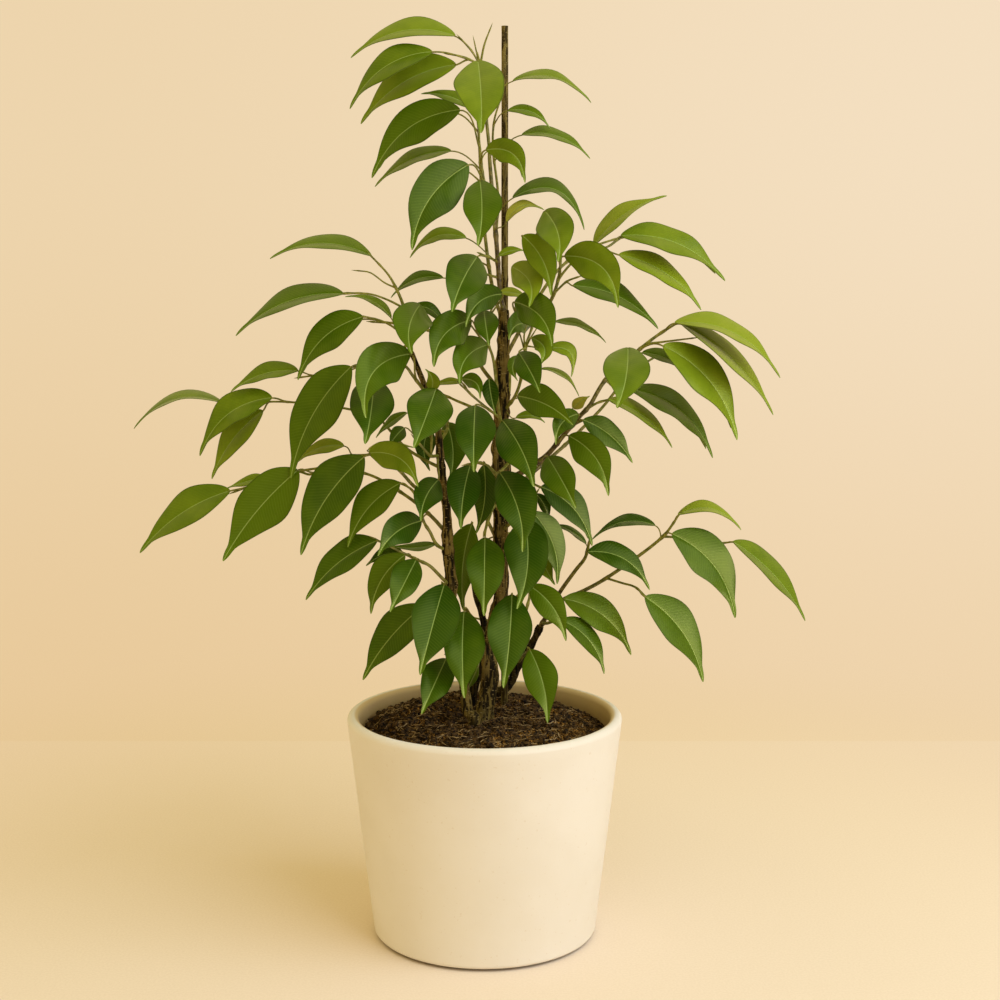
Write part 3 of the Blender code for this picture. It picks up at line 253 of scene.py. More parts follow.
# Sprays: the stem that carries each, its twigs (x, y, depth, radius) and its leaves. A leaf has a name,
# its blade's base, the middle of its midrib and its tip, its width, and the depth of its base.
SPRAYS = {
    "leader_shoot": ("main_stem", (
        ((504, 312, 13, 2.2), (500, 290, 13, 1.9), (497, 250, 12, 1.8), (495, 225, 13, 1.7),
         (490, 165, 14, 1.4), (489, 145, 14, 1.2), (484, 100, 12, 1.1), (479, 62, 9, 0.8)),
        ((496, 232, 13, 1.0), (485, 185, 8, 0.9), (481, 160, 6, 0.8), (478, 125, 3, 0.7)),
        ((480, 68, 9, 0.8), (484, 46, 8, 0.7), (489, 32, 8, 0.45)),
        ((479, 66, 9, 0.7), (475, 45, 11, 0.45)),
        ((479, 64, 9, 0.8), (463, 57, 4, 0.7), (449, 54, -3, 0.6)),
        ((479, 62, 9, 0.7), (471, 50, 6, 0.65), (463, 41, 3, 0.55)),
        ((497, 236, 13, 1.0), (498, 195, 15, 0.9), (493, 150, 17, 0.8), (494, 122, 17, 0.7),
         (499, 104, 17, 0.55)),
        ((497, 262, 12, 0.9), (488, 257, 0, 0.8), (481, 254, -9, 0.7)),
        ((498, 278, 12, 0.9), (475, 272, 6, 0.8), (458, 274, 0, 0.7))), (
        ("t1", 455, 36, 410, 30, 351, 58, 18, 2), ("t2", 432, 52, 392, 63, 350, 109, 25, -12),
        ("t3", 456, 65, 408, 80, 361, 124, 32, 6), ("t4", 471, 108, 447, 96, 421, 94, 12, 12),
        ("t5", 478, 61, 481, 92, 481, 133, 50, -6), ("t6", 460, 110, 412, 126, 372, 178, 38, -4),
        ("t7", 451, 151, 413, 159, 375, 187, 14, 6), ("t8", 468, 165, 431, 197, 412, 250, 48, -10),
        ("t9", 466, 238, 438, 236, 410, 258, 13, 4), ("r1", 513, 81, 552, 77, 591, 103, 9, 4),
        ("r2", 508, 111, 531, 112, 550, 129, 10, 6), ("r3", 522, 135, 556, 136, 590, 159, 11, 4),
        ("r4", 513, 198, 553, 189, 584, 230, 14, 4), ("c2", 486, 150, 510, 152, 525, 183, 25, -6),
        ("c3", 480, 181, 482, 205, 478, 246, 39, -14), ("c4", 477, 257, 463, 280, 452, 312, 43, -20),
        ("l2", 443, 278, 418, 279, 391, 298, 11, -2), ("c5b", 499, 256, 511, 251, 526, 251, 8, 2),
        ("c18", 499, 293, 514, 293, 530, 302, 9, -6), ("r5a", 507, 222, 522, 206, 544, 210, 10, 0))),
    "upper_right_shoot": ("main_stem", (
        ((503, 340, 12, 1.8), (525, 322, 4, 1.6), (545, 308, 0, 1.5), (553, 296, -3, 1.3),
         (559, 276, -5, 1.1), (561, 256, -6, 0.8)),
        ((558, 280, -5, 0.9), (572, 263, -8, 0.8), (590, 252, -9, 0.8), (607, 247, -8, 0.7),
         (618, 240, -7, 0.6)),
        ((554, 294, -3, 0.8), (566, 282, -6, 0.7), (575, 278, -8, 0.6)),
        ((545, 308, 0, 1.0), (535, 287, -6, 0.9), (531, 262, -10, 0.8), (536, 238, -12, 0.8),
         (541, 222, -13, 0.7)),
        ((520, 326, 6, 0.9), (516, 312, -8, 0.8))), (
        ("r5b", 545, 211, 557, 230, 558, 262, 38, -20), ("c5", 523, 236, 541, 257, 551, 296, 30, -24),
        ("c6", 512, 267, 530, 283, 529, 307, 32, -14), ("r7", 565, 256, 598, 264, 618, 308, 38, -30),
        ("r8", 573, 286, 617, 296, 658, 329, 22, -12), ("r9", 594.5, 245, 618, 219, 667, 196, 16, -2),
        ("r10", 621, 236, 670, 241, 725, 281, 26, -7), ("r11", 619, 255, 660, 270, 701, 310, 22, -12),
        ("c8", 515, 302, 538, 314, 552, 346, 36, -20), ("c10", 555, 322, 576, 324, 606, 343, 8, 0))),
    "inner_right_shoot": ("main_stem", (
        ((503, 412, 11, 1.4), (514, 398, 3, 1.2), (520, 383, -1, 1.1), (524, 362, -5, 1.0),
         (526, 345, -7, 0.9), (531, 331, -7, 0.7)),
        ((525, 352, -6, 0.7), (521, 338, -9, 0.5)),
        ((526, 350, -7, 0.7), (524, 337, -12, 0.6), (526, 327, -14, 0.4)),
        ((526, 348, -7, 0.7), (530, 339, -11, 0.6), (535, 331, -13, 0.4))), (
        ("c9", 531, 325, 519, 324, 509, 340, 24, 0), ("c11", 548, 349, 568, 351, 571, 377, 14, -10),
        ("c12", 532, 338, 544, 347, 538, 367, 19, 0), ("c13", 519, 353, 529, 369, 540, 393, 28, -18),
        ("c14", 518, 356, 513, 366, 518, 381, 12, -12), ("c15", 541, 369, 563, 376, 579, 397, 5, -6),
        ("c16", 518, 396, 545, 404, 573, 425, 33, -10), ("c17", 516, 418, 533, 416, 545, 423, 8, 0))),
    "inner_left_shoot": ("main_stem", (
        ((502, 432, 10, 1.4), (498, 405, 1, 1.3), (496, 380, -2, 1.2), (493, 358, -5, 1.0),
         (488, 343, -7, 0.9), (486, 325, -8, 0.8), (493, 306, -9, 0.6)),
        ((489, 346, -6, 0.8), (480, 337, -9, 0.7), (473, 328, -11, 0.6)),
        ((498, 420, 3, 1.0), (487, 408, -3, 0.9), (475, 398, -6, 0.8), (463, 387, -8, 0.6))), (
        ("m1", 502, 294, 482, 300, 466, 327, 27, -10), ("m2", 471, 320, 447, 332, 434, 367, 38, -16),
        ("m8", 484, 311, 486, 326, 489, 346, 25, -14), ("m3", 487, 345, 467, 357, 460, 384, 36, -16),
        ("m4", 462, 379, 475, 382, 480, 399, 16, -10), ("m5", 462, 383, 448, 382, 430, 388, 7, -8),
        ("m6", 489, 379, 491, 395, 496, 415, 17, 0), ("m7", 475, 406, 474, 430, 474, 472, 42, -24))),
    "left_crown": ("left_stem", (
        ((411.5, 354, -15, 1.3), (406, 325, -15, 1.2), (403, 305, -14, 1.1), (395, 286, -13, 0.9),
         (387, 273, -14, 0.7), (373, 258, -15, 0.6)),
        ((395, 288, -13, 0.6), (385, 283, -12, 0.55), (371, 273, -12, 0.5), (361, 271, -12, 0.45)),
        ((409, 346, -15, 0.9), (404, 338, -17, 0.8), (396, 329, -18, 0.8), (382, 321, -18, 0.7),
         (366, 317, -18, 0.6)),
        ((403, 308, -14, 0.8), (388, 300, -16, 0.7), (370, 294, -18, 0.6), (350, 293, -18, 0.6))), (
        ("l1", 371, 256, 318, 243.5, 270, 259, 15, -16), ("l3", 343, 294, 296, 299, 236, 336, 20, -20),
        ("l3b", 391, 318, 372, 301, 345, 297, 8, -8), ("l4", 363, 317, 327, 335, 298, 380, 33, -22),
        ("l21", 420, 305, 410, 324, 412, 354, 40, -26), ("l22", 412, 307, 431, 310, 444, 333, 12, -8))),
    "left_middle": ("left_stem", (
        ((428, 396, -15, 1.3), (413, 376, -23, 1.1), (403, 365, -24, 1.0), (378, 361, -22, 0.9),
         (352, 367, -18, 0.8), (330, 373, -12, 0.7), (303, 377, -8, 0.6)),), (
        ("l16", 410, 354, 378, 367, 366, 418, 45, -38), ("l17", 374, 380, 371, 412, 365, 444, 45, -26),
        ("l6", 351, 367, 317, 408, 291, 478, 48, -28), ("l5", 298, 371, 264, 374, 231, 392, 17, -8))),
    "left_far": ("left_stem", (
        ((441, 468, -14, 1.3), (425, 460, -14, 1.1), (405, 447, -10, 1.0), (387, 427, -6, 0.9),
         (376, 416, -4, 0.8), (348, 409, -1, 0.8), (320, 405, 0, 0.7), (288, 402, 0, 0.7),
         (262, 402, 1, 0.6), (232, 404, 2, 0.5)),), (
        ("l7", 222, 403, 182, 398, 134, 429, 9, 3), ("l8", 272, 398, 236, 409, 200, 456, 30, -10),
        ("l9", 263, 411, 232, 441, 212, 479, 26, 0))),
    "left_low": ("left_stem", (
        ((443, 497, -12, 1.4), (430, 494, -18, 1.3), (415, 487, -22, 1.3), (400, 471, -25, 1.2),
         (380, 454, -27, 1.1), (367, 455, -26, 1.0), (341, 458, -20, 0.9), (313, 474, -15, 0.8),
         (296, 472, -12, 0.8), (262, 482, -9, 0.7), (237, 491, -8, 0.6)),), (
        ("l12", 364, 457, 328, 496, 301, 555, 50, -36), ("l10", 298, 470, 262, 505, 223, 561, 52, -24),
        ("l13", 230, 491, 187, 510, 140, 553, 34, -10), ("l14", 268, 478, 246, 482, 226, 489, 10, -2),
        ("l15", 344, 446, 322, 447, 298, 462, 15, -12), ("l31", 369, 453, 399, 458, 418, 487, 30, -32),
        ("l31b", 368, 450, 395, 446, 415, 448, 8, -20))),
    "left_inner": ("left_stem", (
        ((447, 550, -11, 1.3), (437, 545, -17, 1.2), (430, 532, -21, 1.1), (424, 522, -22, 1.0),
         (418, 503, -22, 0.8), (412, 490, -23, 0.8), (402, 484, -24, 0.7)),), (
        ("l34", 421, 521, 401, 529, 378, 556, 33, -30), ("l35", 436, 544.5, 415, 548, 388, 546, 9, -18),
        ("l32", 400, 483.5, 375, 501, 348, 547, 33, -30))),
    "left_base": ("left_stem", (
        ((450, 586, -10, 1.4), (442, 578, -16, 1.3), (430, 566, -19, 1.2), (420, 561, -21, 1.1),
         (403, 553, -24, 1.0), (391, 547, -26, 0.8), (377, 540, -28, 0.7)),), (
        ("l33", 377, 541, 341, 561, 306, 600, 31, -30), ("l36", 405, 555, 386, 573, 371, 614, 30, -34),
        ("l36b", 403, 553, 388, 554, 366, 566, 16, -14), ("l37", 416, 560, 405, 582, 390, 612, 32, -25))),
    "left_centre": ("left_stem", (
        ((440, 455, -14, 1.2), (431, 456, -22, 1.1), (424, 449, -26, 0.9), (417, 441, -28, 0.7)),
        ((431, 456, -22, 0.9), (432, 425, -24, 0.8), (433, 400, -26, 0.7))), (
        ("l20", 436, 389, 427, 414, 414, 448, 46, -34), ("l27", 431, 391, 432, 378, 425, 369, 14, -22),
        ("l78", 438, 480, 426, 497, 421, 521, 30, -28), ("l19", 407, 413, 393, 421, 376, 438, 9, -20),
        ("l81", 404, 428, 396, 436, 389, 447, 16, -22))),
    "left_shade": ("left_stem", (
        ((441, 440, -14, 1.1), (447, 430, -2, 1.0), (448, 424, 4, 0.7)),
        ((446, 432, -4, 0.8), (434, 430, 4, 0.6))), (
        ("l79", 447, 423, 453, 450, 450, 480, 30, 6), ("l80", 430, 428, 424, 447, 430, 471, 22, 6))),
    "lower_left": ("left_stem", (
        ((451, 605, -9, 1.4), (447, 595, -20, 1.3), (443, 585, -34, 1.0)),
        ((448, 598, -17, 1.0), (436, 603, -24, 0.9), (426, 606, -28, 0.7))), (
        ("l38", 444, 585, 433, 624, 420, 675, 50, -46), ("l39", 424, 606, 391, 637, 363, 680, 40, -34))),
    "lower_left_foot": ("left_stem", (
        ((459, 660, -6, 1.3), (453, 650, -18, 1.1), (448, 652, -26, 0.8)),), (
        ("l40", 446, 659, 435, 683, 421.5, 714, 34, -36),)),
    "front_low": ("back_left_stem", (
        ((485, 636, 28, 1.3), (476, 622, 4, 1.2), (466, 610, -16, 1.0)),
        ((478, 625, 9, 0.9), (479, 652, 2, 0.7), (478, 664, -2, 0.6))), (
        ("l41", 464, 612, 462.5, 647, 464.5, 698, 44, -34), ("l42", 478, 667, 472, 680, 466, 692, 10, -4))),
    "shade_low": ("back_left_stem", (
        ((471, 564, 30, 1.4), (469, 545, 22, 1.2), (471, 527, 10, 0.9)),), (
        ("l45", 472, 524, 463, 565, 464, 611, 34, 2),)),
    "front_left": ("main_stem", (
        ((503, 484, 10, 1.5), (492, 470, -2, 1.3), (481, 463, -8, 1.1), (470, 464, -12, 0.8)),), (
        ("l44", 470, 466, 463, 498, 461, 529, 36, -18), ("l44b", 484, 465, 485, 498, 476, 534, 26, -12))),
    "front_centre": ("main_stem", (
        ((500, 508, 11, 1.5), (494, 506, -6, 1.3), (489, 518, -20, 1.2), (485, 531, -30, 0.9)),), (
        ("l46", 485, 538, 484.5, 568, 484, 616, 40, -36),)),
    "front_right": ("main_stem", (
        ((504, 470, 10, 1.6), (509, 462, -6, 1.4), (505, 440, -14, 1.1), (502, 424, -18, 0.8)),
        ((509, 464, -4, 1.1), (502, 470, -22, 0.9), (499, 472, -28, 0.8))), (
        ("l47", 503, 421, 519, 445, 534, 487, 42, -22), ("l48", 500, 473, 516, 503, 522.5, 552, 43, -36))),
    "shade_right": ("main_stem", (
        ((500, 532, 11, 1.6), (514, 520, 2, 1.4), (528, 505, -4, 1.1), (535, 495, -5, 0.7)),
        ((514, 520, 2, 0.9), (519, 517, -10, 0.8)),
        ((520, 513, -1, 1.0), (534, 535, 0, 0.8), (536, 545, -2, 0.6))), (
        ("l49", 524, 518, 528, 560, 517, 609, 46, -16), ("l50", 532, 512, 553, 545, 557, 584, 30, -14),
        ("l51", 536, 494, 545, 508, 547, 524, 12, 2), ("l52", 535, 545, 545, 567, 555, 585, 22, -4))),
    "front_foot": ("main_stem", (
        ((500, 612, 13, 1.6), (508, 604, -2, 1.4), (512, 598, -18, 1.1), (512, 595, -28, 0.8)),
        ((508, 604, -2, 1.0), (522, 592, -6, 0.9), (530, 586, -10, 0.7))), (
        ("l54", 512, 595, 509.5, 640, 503.5, 688, 46, -34), ("l53", 530, 586, 549, 602, 566, 641, 30, -18))),
    "right_foot": ("right_stem", (
        ((518, 663, 44, 1.3), (524, 655, 26, 1.1), (529, 651, 8, 0.8)),), (
        ("l55", 530, 650, 543, 683, 547.5, 723, 36, -2),)),
    "upper_right_branch": ("main_stem", (
        ((503, 484, 9, 2.5), (530, 467, 3, 2.3), (547, 455, 1, 2.1), (563, 436, -2, 1.9),
         (580, 416, -6, 1.7), (590, 405, -8, 1.6), (607, 378, -10, 1.5), (640, 349, -12, 1.2),
         (658, 335, -13, 1.0), (674, 325, -14, 0.7)),
        ((586, 410, -7, 1.0), (597, 403, -9, 0.8), (607, 400, -10, 0.7)),
        ((640, 349, -12, 0.9), (650, 344, -16, 0.8), (662, 342, -18, 0.7), (690, 338.5, -18, 0.5)),
        ((606, 380, -10, 0.9), (620, 392, -4, 0.8), (631, 390, -6, 0.6)),
        ((572, 425, -4, 0.9), (584, 420, -8, 0.7))), (
        ("l64", 548, 457, 560, 477, 576, 508, 34, -16), ("l64b", 541, 487, 569, 504, 592, 546, 30, -4),
        ("l66", 583, 420, 607, 433, 632.5, 463, 26, -14),
        ("l67", 569, 436, 591, 452, 608.5, 496, 34, -20), ("l68", 578, 414, 565, 420, 556, 445, 22, -20),
        ("l70", 573, 408, 581, 401, 590, 396, 12, -12), ("l71", 608, 400, 637, 412, 672, 448, 14, -12),
        ("l72", 628, 348, 627, 371, 617, 408, 47, -28), ("l73", 630, 389.5, 675, 407, 712.5, 458, 25, -8),
        ("l74", 663, 346, 703, 374, 737, 440, 37, -26), ("l75", 642, 353, 665, 358, 692, 376, 12, -12),
        ("l76", 681, 324, 724, 352, 773, 415, 19, -20), ("l77", 675, 323, 722, 328, 780, 378, 18, -12))),
    "lower_right_branch": ("right_stem", (
        ((539, 629, 38.5, 2.2), (550, 610, 34, 1.9), (560, 592, 28, 1.7), (575, 571, 19, 1.5),
         (585, 558, 12, 1.3), (588.5, 545, 6, 0.9)),
        ((551, 608, 33, 1.7), (564, 599, 30, 1.6), (585, 590, 28, 1.5), (608, 577, 26, 1.4),
         (644, 552, 20, 1.2), (663, 536.5, 13, 1.1), (670, 528, 9, 0.9), (678, 516, 5, 0.7)),
        ((542, 622, 38, 1.4), (548, 623, 24, 1.2), (560, 619, 10, 0.8)),
        ((606, 578, 26, 0.9), (622, 583, 18, 0.8), (635, 587, 10, 0.8), (645, 596, 2, 0.7)),
        ((663, 536.5, 13, 0.9), (680, 538, 14, 0.8), (705, 544, 14, 0.7), (732, 542, 12, 0.6))), (
        ("l56", 564, 599, 598, 612, 631, 655, 33, 16), ("l57", 561, 620, 585, 636, 604, 674, 22, 4),
        ("l58", 645, 597, 680, 629, 703, 682, 38, -4), ("l59", 672, 534, 709, 560, 735, 618, 42, 0),
        ("l60", 733, 542, 768, 569, 805, 621, 20, 8), ("l61", 678, 515, 706, 508, 741, 530, 12, 3),
        ("l62", 655, 525.5, 625, 522, 592, 540, 12, 8), ("l63", 588, 552, 622, 558, 649.5, 590, 26, 2),
        ("l65", 586, 544, 572, 532, 548, 524, 7, 8))),
}

# Sprays at the back: the carrying stem, its twigs, and each leaf as the front leaf that hides it, with
# its depth.
BACK_SPRAYS = {
    "back_top": ("main_stem", (
        ((503, 322, 12, 1.7), (492, 285, 48, 1.5), (484, 225, 66, 1.3), (480, 160, 78, 1.0),
         (478, 110, 84, 0.8), (478, 82, 84, 0.6)),), (
        ("t5", 88), ("t8", 80), ("t6", 92), ("c3", 84), ("c4", 64), ("c2", 88))),
    "back_top_right": ("main_stem", (
        ((503, 362, 12, 1.7), (520, 330, 40, 1.5), (540, 295, 52, 1.3), (560, 268, 60, 1.1),
         (585, 250, 66, 0.9), (612, 240, 70, 0.7)),
        ((530, 312, 46, 1.0), (530, 280, 54, 0.9), (532, 255, 58, 0.8), (541, 232, 62, 0.7))), (
        ("r5b", 74), ("c5", 66), ("r7", 72), ("c8", 54), ("r10", 76))),
    "back_left_high": ("main_stem", (
        ((503, 395, 12, 1.7), (485, 372, 38, 1.5), (470, 352, 48, 1.3), (440, 335, 56, 1.1),
         (410, 325, 60, 1.0), (375, 322, 64, 0.7)),
        ((425, 330, 58, 1.0), (400, 350, 64, 0.9), (365, 368, 64, 0.7))), (
        ("l21", 70), ("l16", 72), ("m2", 58), ("m3", 54), ("l4", 72), ("l6", 70))),
    "back_middle": ("main_stem", (
        ((503, 448, 11, 1.8), (492, 430, 44, 1.6), (480, 412, 76, 1.3), (455, 400, 92, 1.0),
         (440, 393, 97, 0.7)),
        ((492, 430, 44, 1.1), (508, 400, 68, 1.0), (509, 360, 84, 0.9), (500, 320, 92, 0.7))), (
        ("m7", 90), ("l20", 102), ("c16", 76), ("l47", 64), ("m1", 98))),
    "back_left_low": ("left_stem", (
        ((448, 535, -11, 1.6), (430, 515, 22, 1.4), (405, 495, 40, 1.2), (370, 475, 50, 1.0),
         (330, 468, 56, 0.8), (302, 470, 58, 0.6)),), (
        ("l12", 64), ("l32", 54), ("l34", 40), ("l10", 66))),
    "back_low": ("main_stem", (
        ((500, 545, 12, 1.8), (492, 530, 44, 1.5), (478, 500, 66, 1.2), (470, 480, 78, 0.9)),
        ((494, 535, 34, 1.1), (510, 512, 62, 1.0), (508, 488, 68, 0.8)),
        ((494, 535, 34, 1.1), (515, 532, 70, 0.9), (530, 522, 86, 0.7)),
        ((497, 541, 22, 1.1), (470, 560, 40, 0.9), (448, 583, 50, 0.7))), (
        ("l44", 86), ("l46", 68), ("l48", 76), ("l49", 84), ("l38", 58), ("l50", 94))),
    "back_right_low": ("right_stem", (
        ((530, 646, 42, 1.5), (525, 620, 66, 1.3), (531, 592, 84, 0.9)),
        ((526, 630, 56, 1.0), (495, 622, 66, 0.9), (474, 618, 68, 0.7))), (
        ("l54", 80), ("l53", 94), ("l41", 76))),
    "back_right": ("main_stem", (
        ((503, 500, 10, 1.9), (530, 475, 34, 1.6), (565, 445, 46, 1.3), (600, 410, 54, 1.1),
         (625, 380, 58, 0.9), (650, 360, 60, 0.8), (668, 352, 62, 0.6)),), (
        ("l64", 52), ("l67", 58), ("l72", 66), ("l64b", 58), ("l73", 66), ("l74", 70))),
}


def sight(px, py):
    """Direction of the sight line through a pixel, for which the forward part is one."""
    across = (px - VIEW_CENTRE_PX) / VIEW_FOCAL_PX
    up = (VIEW_CENTRE_PX - py) / VIEW_FOCAL_PX
    forward = Vector((0, math.cos(VIEW_PITCH), -math.sin(VIEW_PITCH)))
    lift = Vector((0, math.sin(VIEW_PITCH), math.cos(VIEW_PITCH)))
    return forward + Vector((across, 0, 0)) + lift * up


def at_depth(px, py, depth):
    """Point of a sight line where it has gone to this depth behind the pot's axis."""
    ray = sight(px, py)
    return EYE + ray * ((depth - EYE.y) / ray.y)


def at_height(px, py, height):
    """Point of a sight line where it meets a level."""
    ray = sight(px, py)
    return EYE + ray * ((height - EYE.z) / ray.z)


def outline(t):
    """Half-width of a leaf along its midrib, as a share of the widest: ovate with a drip tip."""
    body = math.sin(math.pi * min(1.0, t / DRIP_START) ** BLUNT_BASE)
    drip = DRIP_TAPER * (1.0 - t) * t ** 6
    return 0.93 * math.hypot(body, drip) + 0.05 * math.sqrt(1.0 - t) + 0.02


def hill(distance, reach):
    """One at no distance, falling away smoothly over a reach."""
    return math.exp(-(distance / reach) ** 2)


def clamped(value):
    """A value held between none and one."""
    return max(0.0, min(1.0, value))


def nearest_on(points, radii, spot):
    """Nearest point of a spine to a spot, short of its end, with its radius and distance."""
    best = None
    for start, end, radius_a, radius_b in zip(points, points[1:], radii, radii[1:]):
        along = end - start
        last = 1.0 - END_MARGIN / along.length if end is points[-1] else 1.0
        share = max(0.0, min(last, (spot - start).dot(along) / along.length_squared))
        foot = start + along * share
        distance = (spot - foot).length
        if best is None or distance < best[2]:
            best = (foot, radius_a + (radius_b - radius_a) * share, distance)
    return best


class LeafShape:
    """The middle surface of one leaf: a curved midrib with two halves folded up along it."""

    def __init__(self, row, shift):
        depth = row.depth * MM + shift
        scale = (depth - EYE.y) / VIEW_FOCAL_PX
        near = [at_depth(*spot, depth) for spot in (row.base, row.middle, row.tip)]
        first = (near[1] - near[0]).length
        second = (near[2] - near[1]).length
        seen_length = first + second
        seen_width = row.width * scale
        self.length = max(seen_length, min(LEAF_LENGTH, seen_width / LEAF_WIDTH_SHARE))
        reach = math.sqrt(self.length ** 2 - seen_length ** 2)
        self.toward = row.toward
        self.base = near[0]
        middle = at_depth(*row.middle, depth + row.toward * reach * MIDDLE_SHARE_OF_DEPTH)
        self.tip = at_depth(*row.tip, depth + row.toward * reach)
        share = first / seen_length
        self.control = (middle - (1 - share) ** 2 * self.base - share ** 2 * self.tip)
        self.control /= 2 * share * (1 - share)
        full_width = max(seen_width, min(LEAF_WIDTH_SHARE * self.length, seen_width * MOST_TURNED))
        self.half_width = full_width / 2
        self.turn = math.acos(min(1.0, seen_width / full_width))
        outward = 1.0 if self.tip.x > self.base.x else -1.0
        scores = []
        for sign in (1.0, -1.0):
            self.sign = sign
            normal = self.frame(0.5)[2]
            scores.append((normal.z + OUTWARD_LEAN * outward * normal.x, sign))
        self.sign = max(scores)[1]

    def midrib(self, t):
        """Point of the midrib, from the blade's base at 0 to its tip at 1."""
        return self.base * (1 - t) ** 2 + self.control * (2 * t * (1 - t)) + self.tip * t ** 2

    def frame(self, t):
        """Tangent, sideways direction and upward normal of the blade."""
        tangent = (self.control - self.base) * (1 - t) + (self.tip - self.control) * t
        tangent.normalize()
        look = (self.midrib(t) - EYE).normalized()
        side = tangent.cross(look).normalized()
        face = side.cross(tangent).normalized()
        if face.dot(look) * -self.toward > 0:
            face.negate()
        turn = self.turn * self.sign
        lateral = side * math.cos(turn) + face * math.sin(turn)
        normal = face * math.cos(turn) - side * math.sin(turn)
        return tangent, lateral, normal


def hidden_leaf(row, depth):
    """A leaf at the back, hidden by a front leaf: its place, a little smaller, facing away."""
    centre = Vector(row.middle)
    shrink = [tuple(centre + (Vector(spot) - centre) * BEHIND_SCALE)
              for spot in (row.base, row.middle, row.tip)]
    return Leaf("back_" + row.name, *shrink, row.width * BEHIND_SHADOW, depth, 1.0)


def all_sprays():
    """Every spray, front and back, by its node's name."""
    sprays, front = {}, {}
    for name, (seat, twigs, rows) in SPRAYS.items():
        leaves = [Leaf(key, spots[:2], spots[2:4], spots[4:6], *spots[6:], -1.0)
                  for key, *spots in rows]
        front.update((row.name, row) for row in leaves)
        sprays[name] = Spray(seat, twigs, leaves)
    for name, (seat, twigs, rows) in BACK_SPRAYS.items():
        sprays[name] = Spray(seat, twigs, [hidden_leaf(front[key], depth) for key, depth in rows])
    return sprays


def spine(rows):
    """Points and radii of a stem or twig from its rows of x, y, depth and radius."""
    points = [at_depth(x, y, depth * MM) for x, y, depth, radius in rows]
    return points, [row[3] * MM for row in rows]


def stem_spine(name):
    """A stem's buried straight foot, then its run above the soil."""
    (px, py), rows = STEMS[name]
    points, radii = spine(rows)
    entry = at_height(px, py, SOIL_TOP + SOIL_MOUND)
    foot = [entry - Vector((0, 0, BURIED_DEPTH)), entry + Vector((0, 0, STEM_FOOT_LIFT))]
    return foot + points, [radii[0]] * 2 + radii


def smooth_run(points, radii, step):
    """Rounds a spine's corners: points and radii along a Catmull-Rom curve through its points."""
    run, sizes = [], []
    for index in range(len(points) - 1):
        before = points[max(index - 1, 0)]
        start, end = points[index], points[index + 1]
        after = points[min(index + 2, len(points) - 1)]
        count = max(2, round((end - start).length / step))
        for k in range(count):
            s = k / count
            lead = start * 2 + (end - before) * s
            bend = (before * 2 - start * 5 + end * 4 - after) * s ** 2
            close = (start * 3 - before - end * 3 + after) * s ** 3
            run.append((lead + bend + close) / 2)
            sizes.append(radii[index] + (radii[index + 1] - radii[index]) * s)
    return run + [points[-1]], sizes + [radii[-1]]


def settled_shift(row, node_points):
    """How far the solid leaf was moved in depth: the move that puts its tip on the solid's."""
    best = None
    for attempt in range(2 * SETTLE_TRIES):
        size = (attempt + 1) // 2 * SETTLE_STEP
        shift = size if attempt % 2 else -size
        distance = node_points.find(LeafShape(row, shift).tip)[2]
        if best is None or distance < best[0] - 0.1 * MM:
            best = (distance, shift)
    return best[1]


def wall_radius(height, inset=0.0):
    """Radius of the pot's outer wall at a height, less an inset."""
    share = height / POT_HEIGHT
    return POT_BASE_RADIUS + (POT_TOP_RADIUS - POT_BASE_RADIUS) * share - inset


def soil_height(x, y):
    """Level of the soil: the solid's low mound with lumps, heaped more at the back and left."""
    reach = wall_radius(SOIL_TOP, POT_WALL)
    share = min(1.0, math.hypot(x, y) / reach)
    mound = SOIL_MOUND * (1 - share ** SOIL_SHOULDER)
    heap = SOIL_HEAP * clamped((y - HEAP_TURN * x) / reach * HEAP_SLOPE) * (1 - share ** HEAP_SHOULDER)
    return SOIL_TOP + mound + heap + SOIL_LUMP * noise(Vector((x, y, 0.4)) * SOIL_LUMPS_PER_METRE)


# Materials


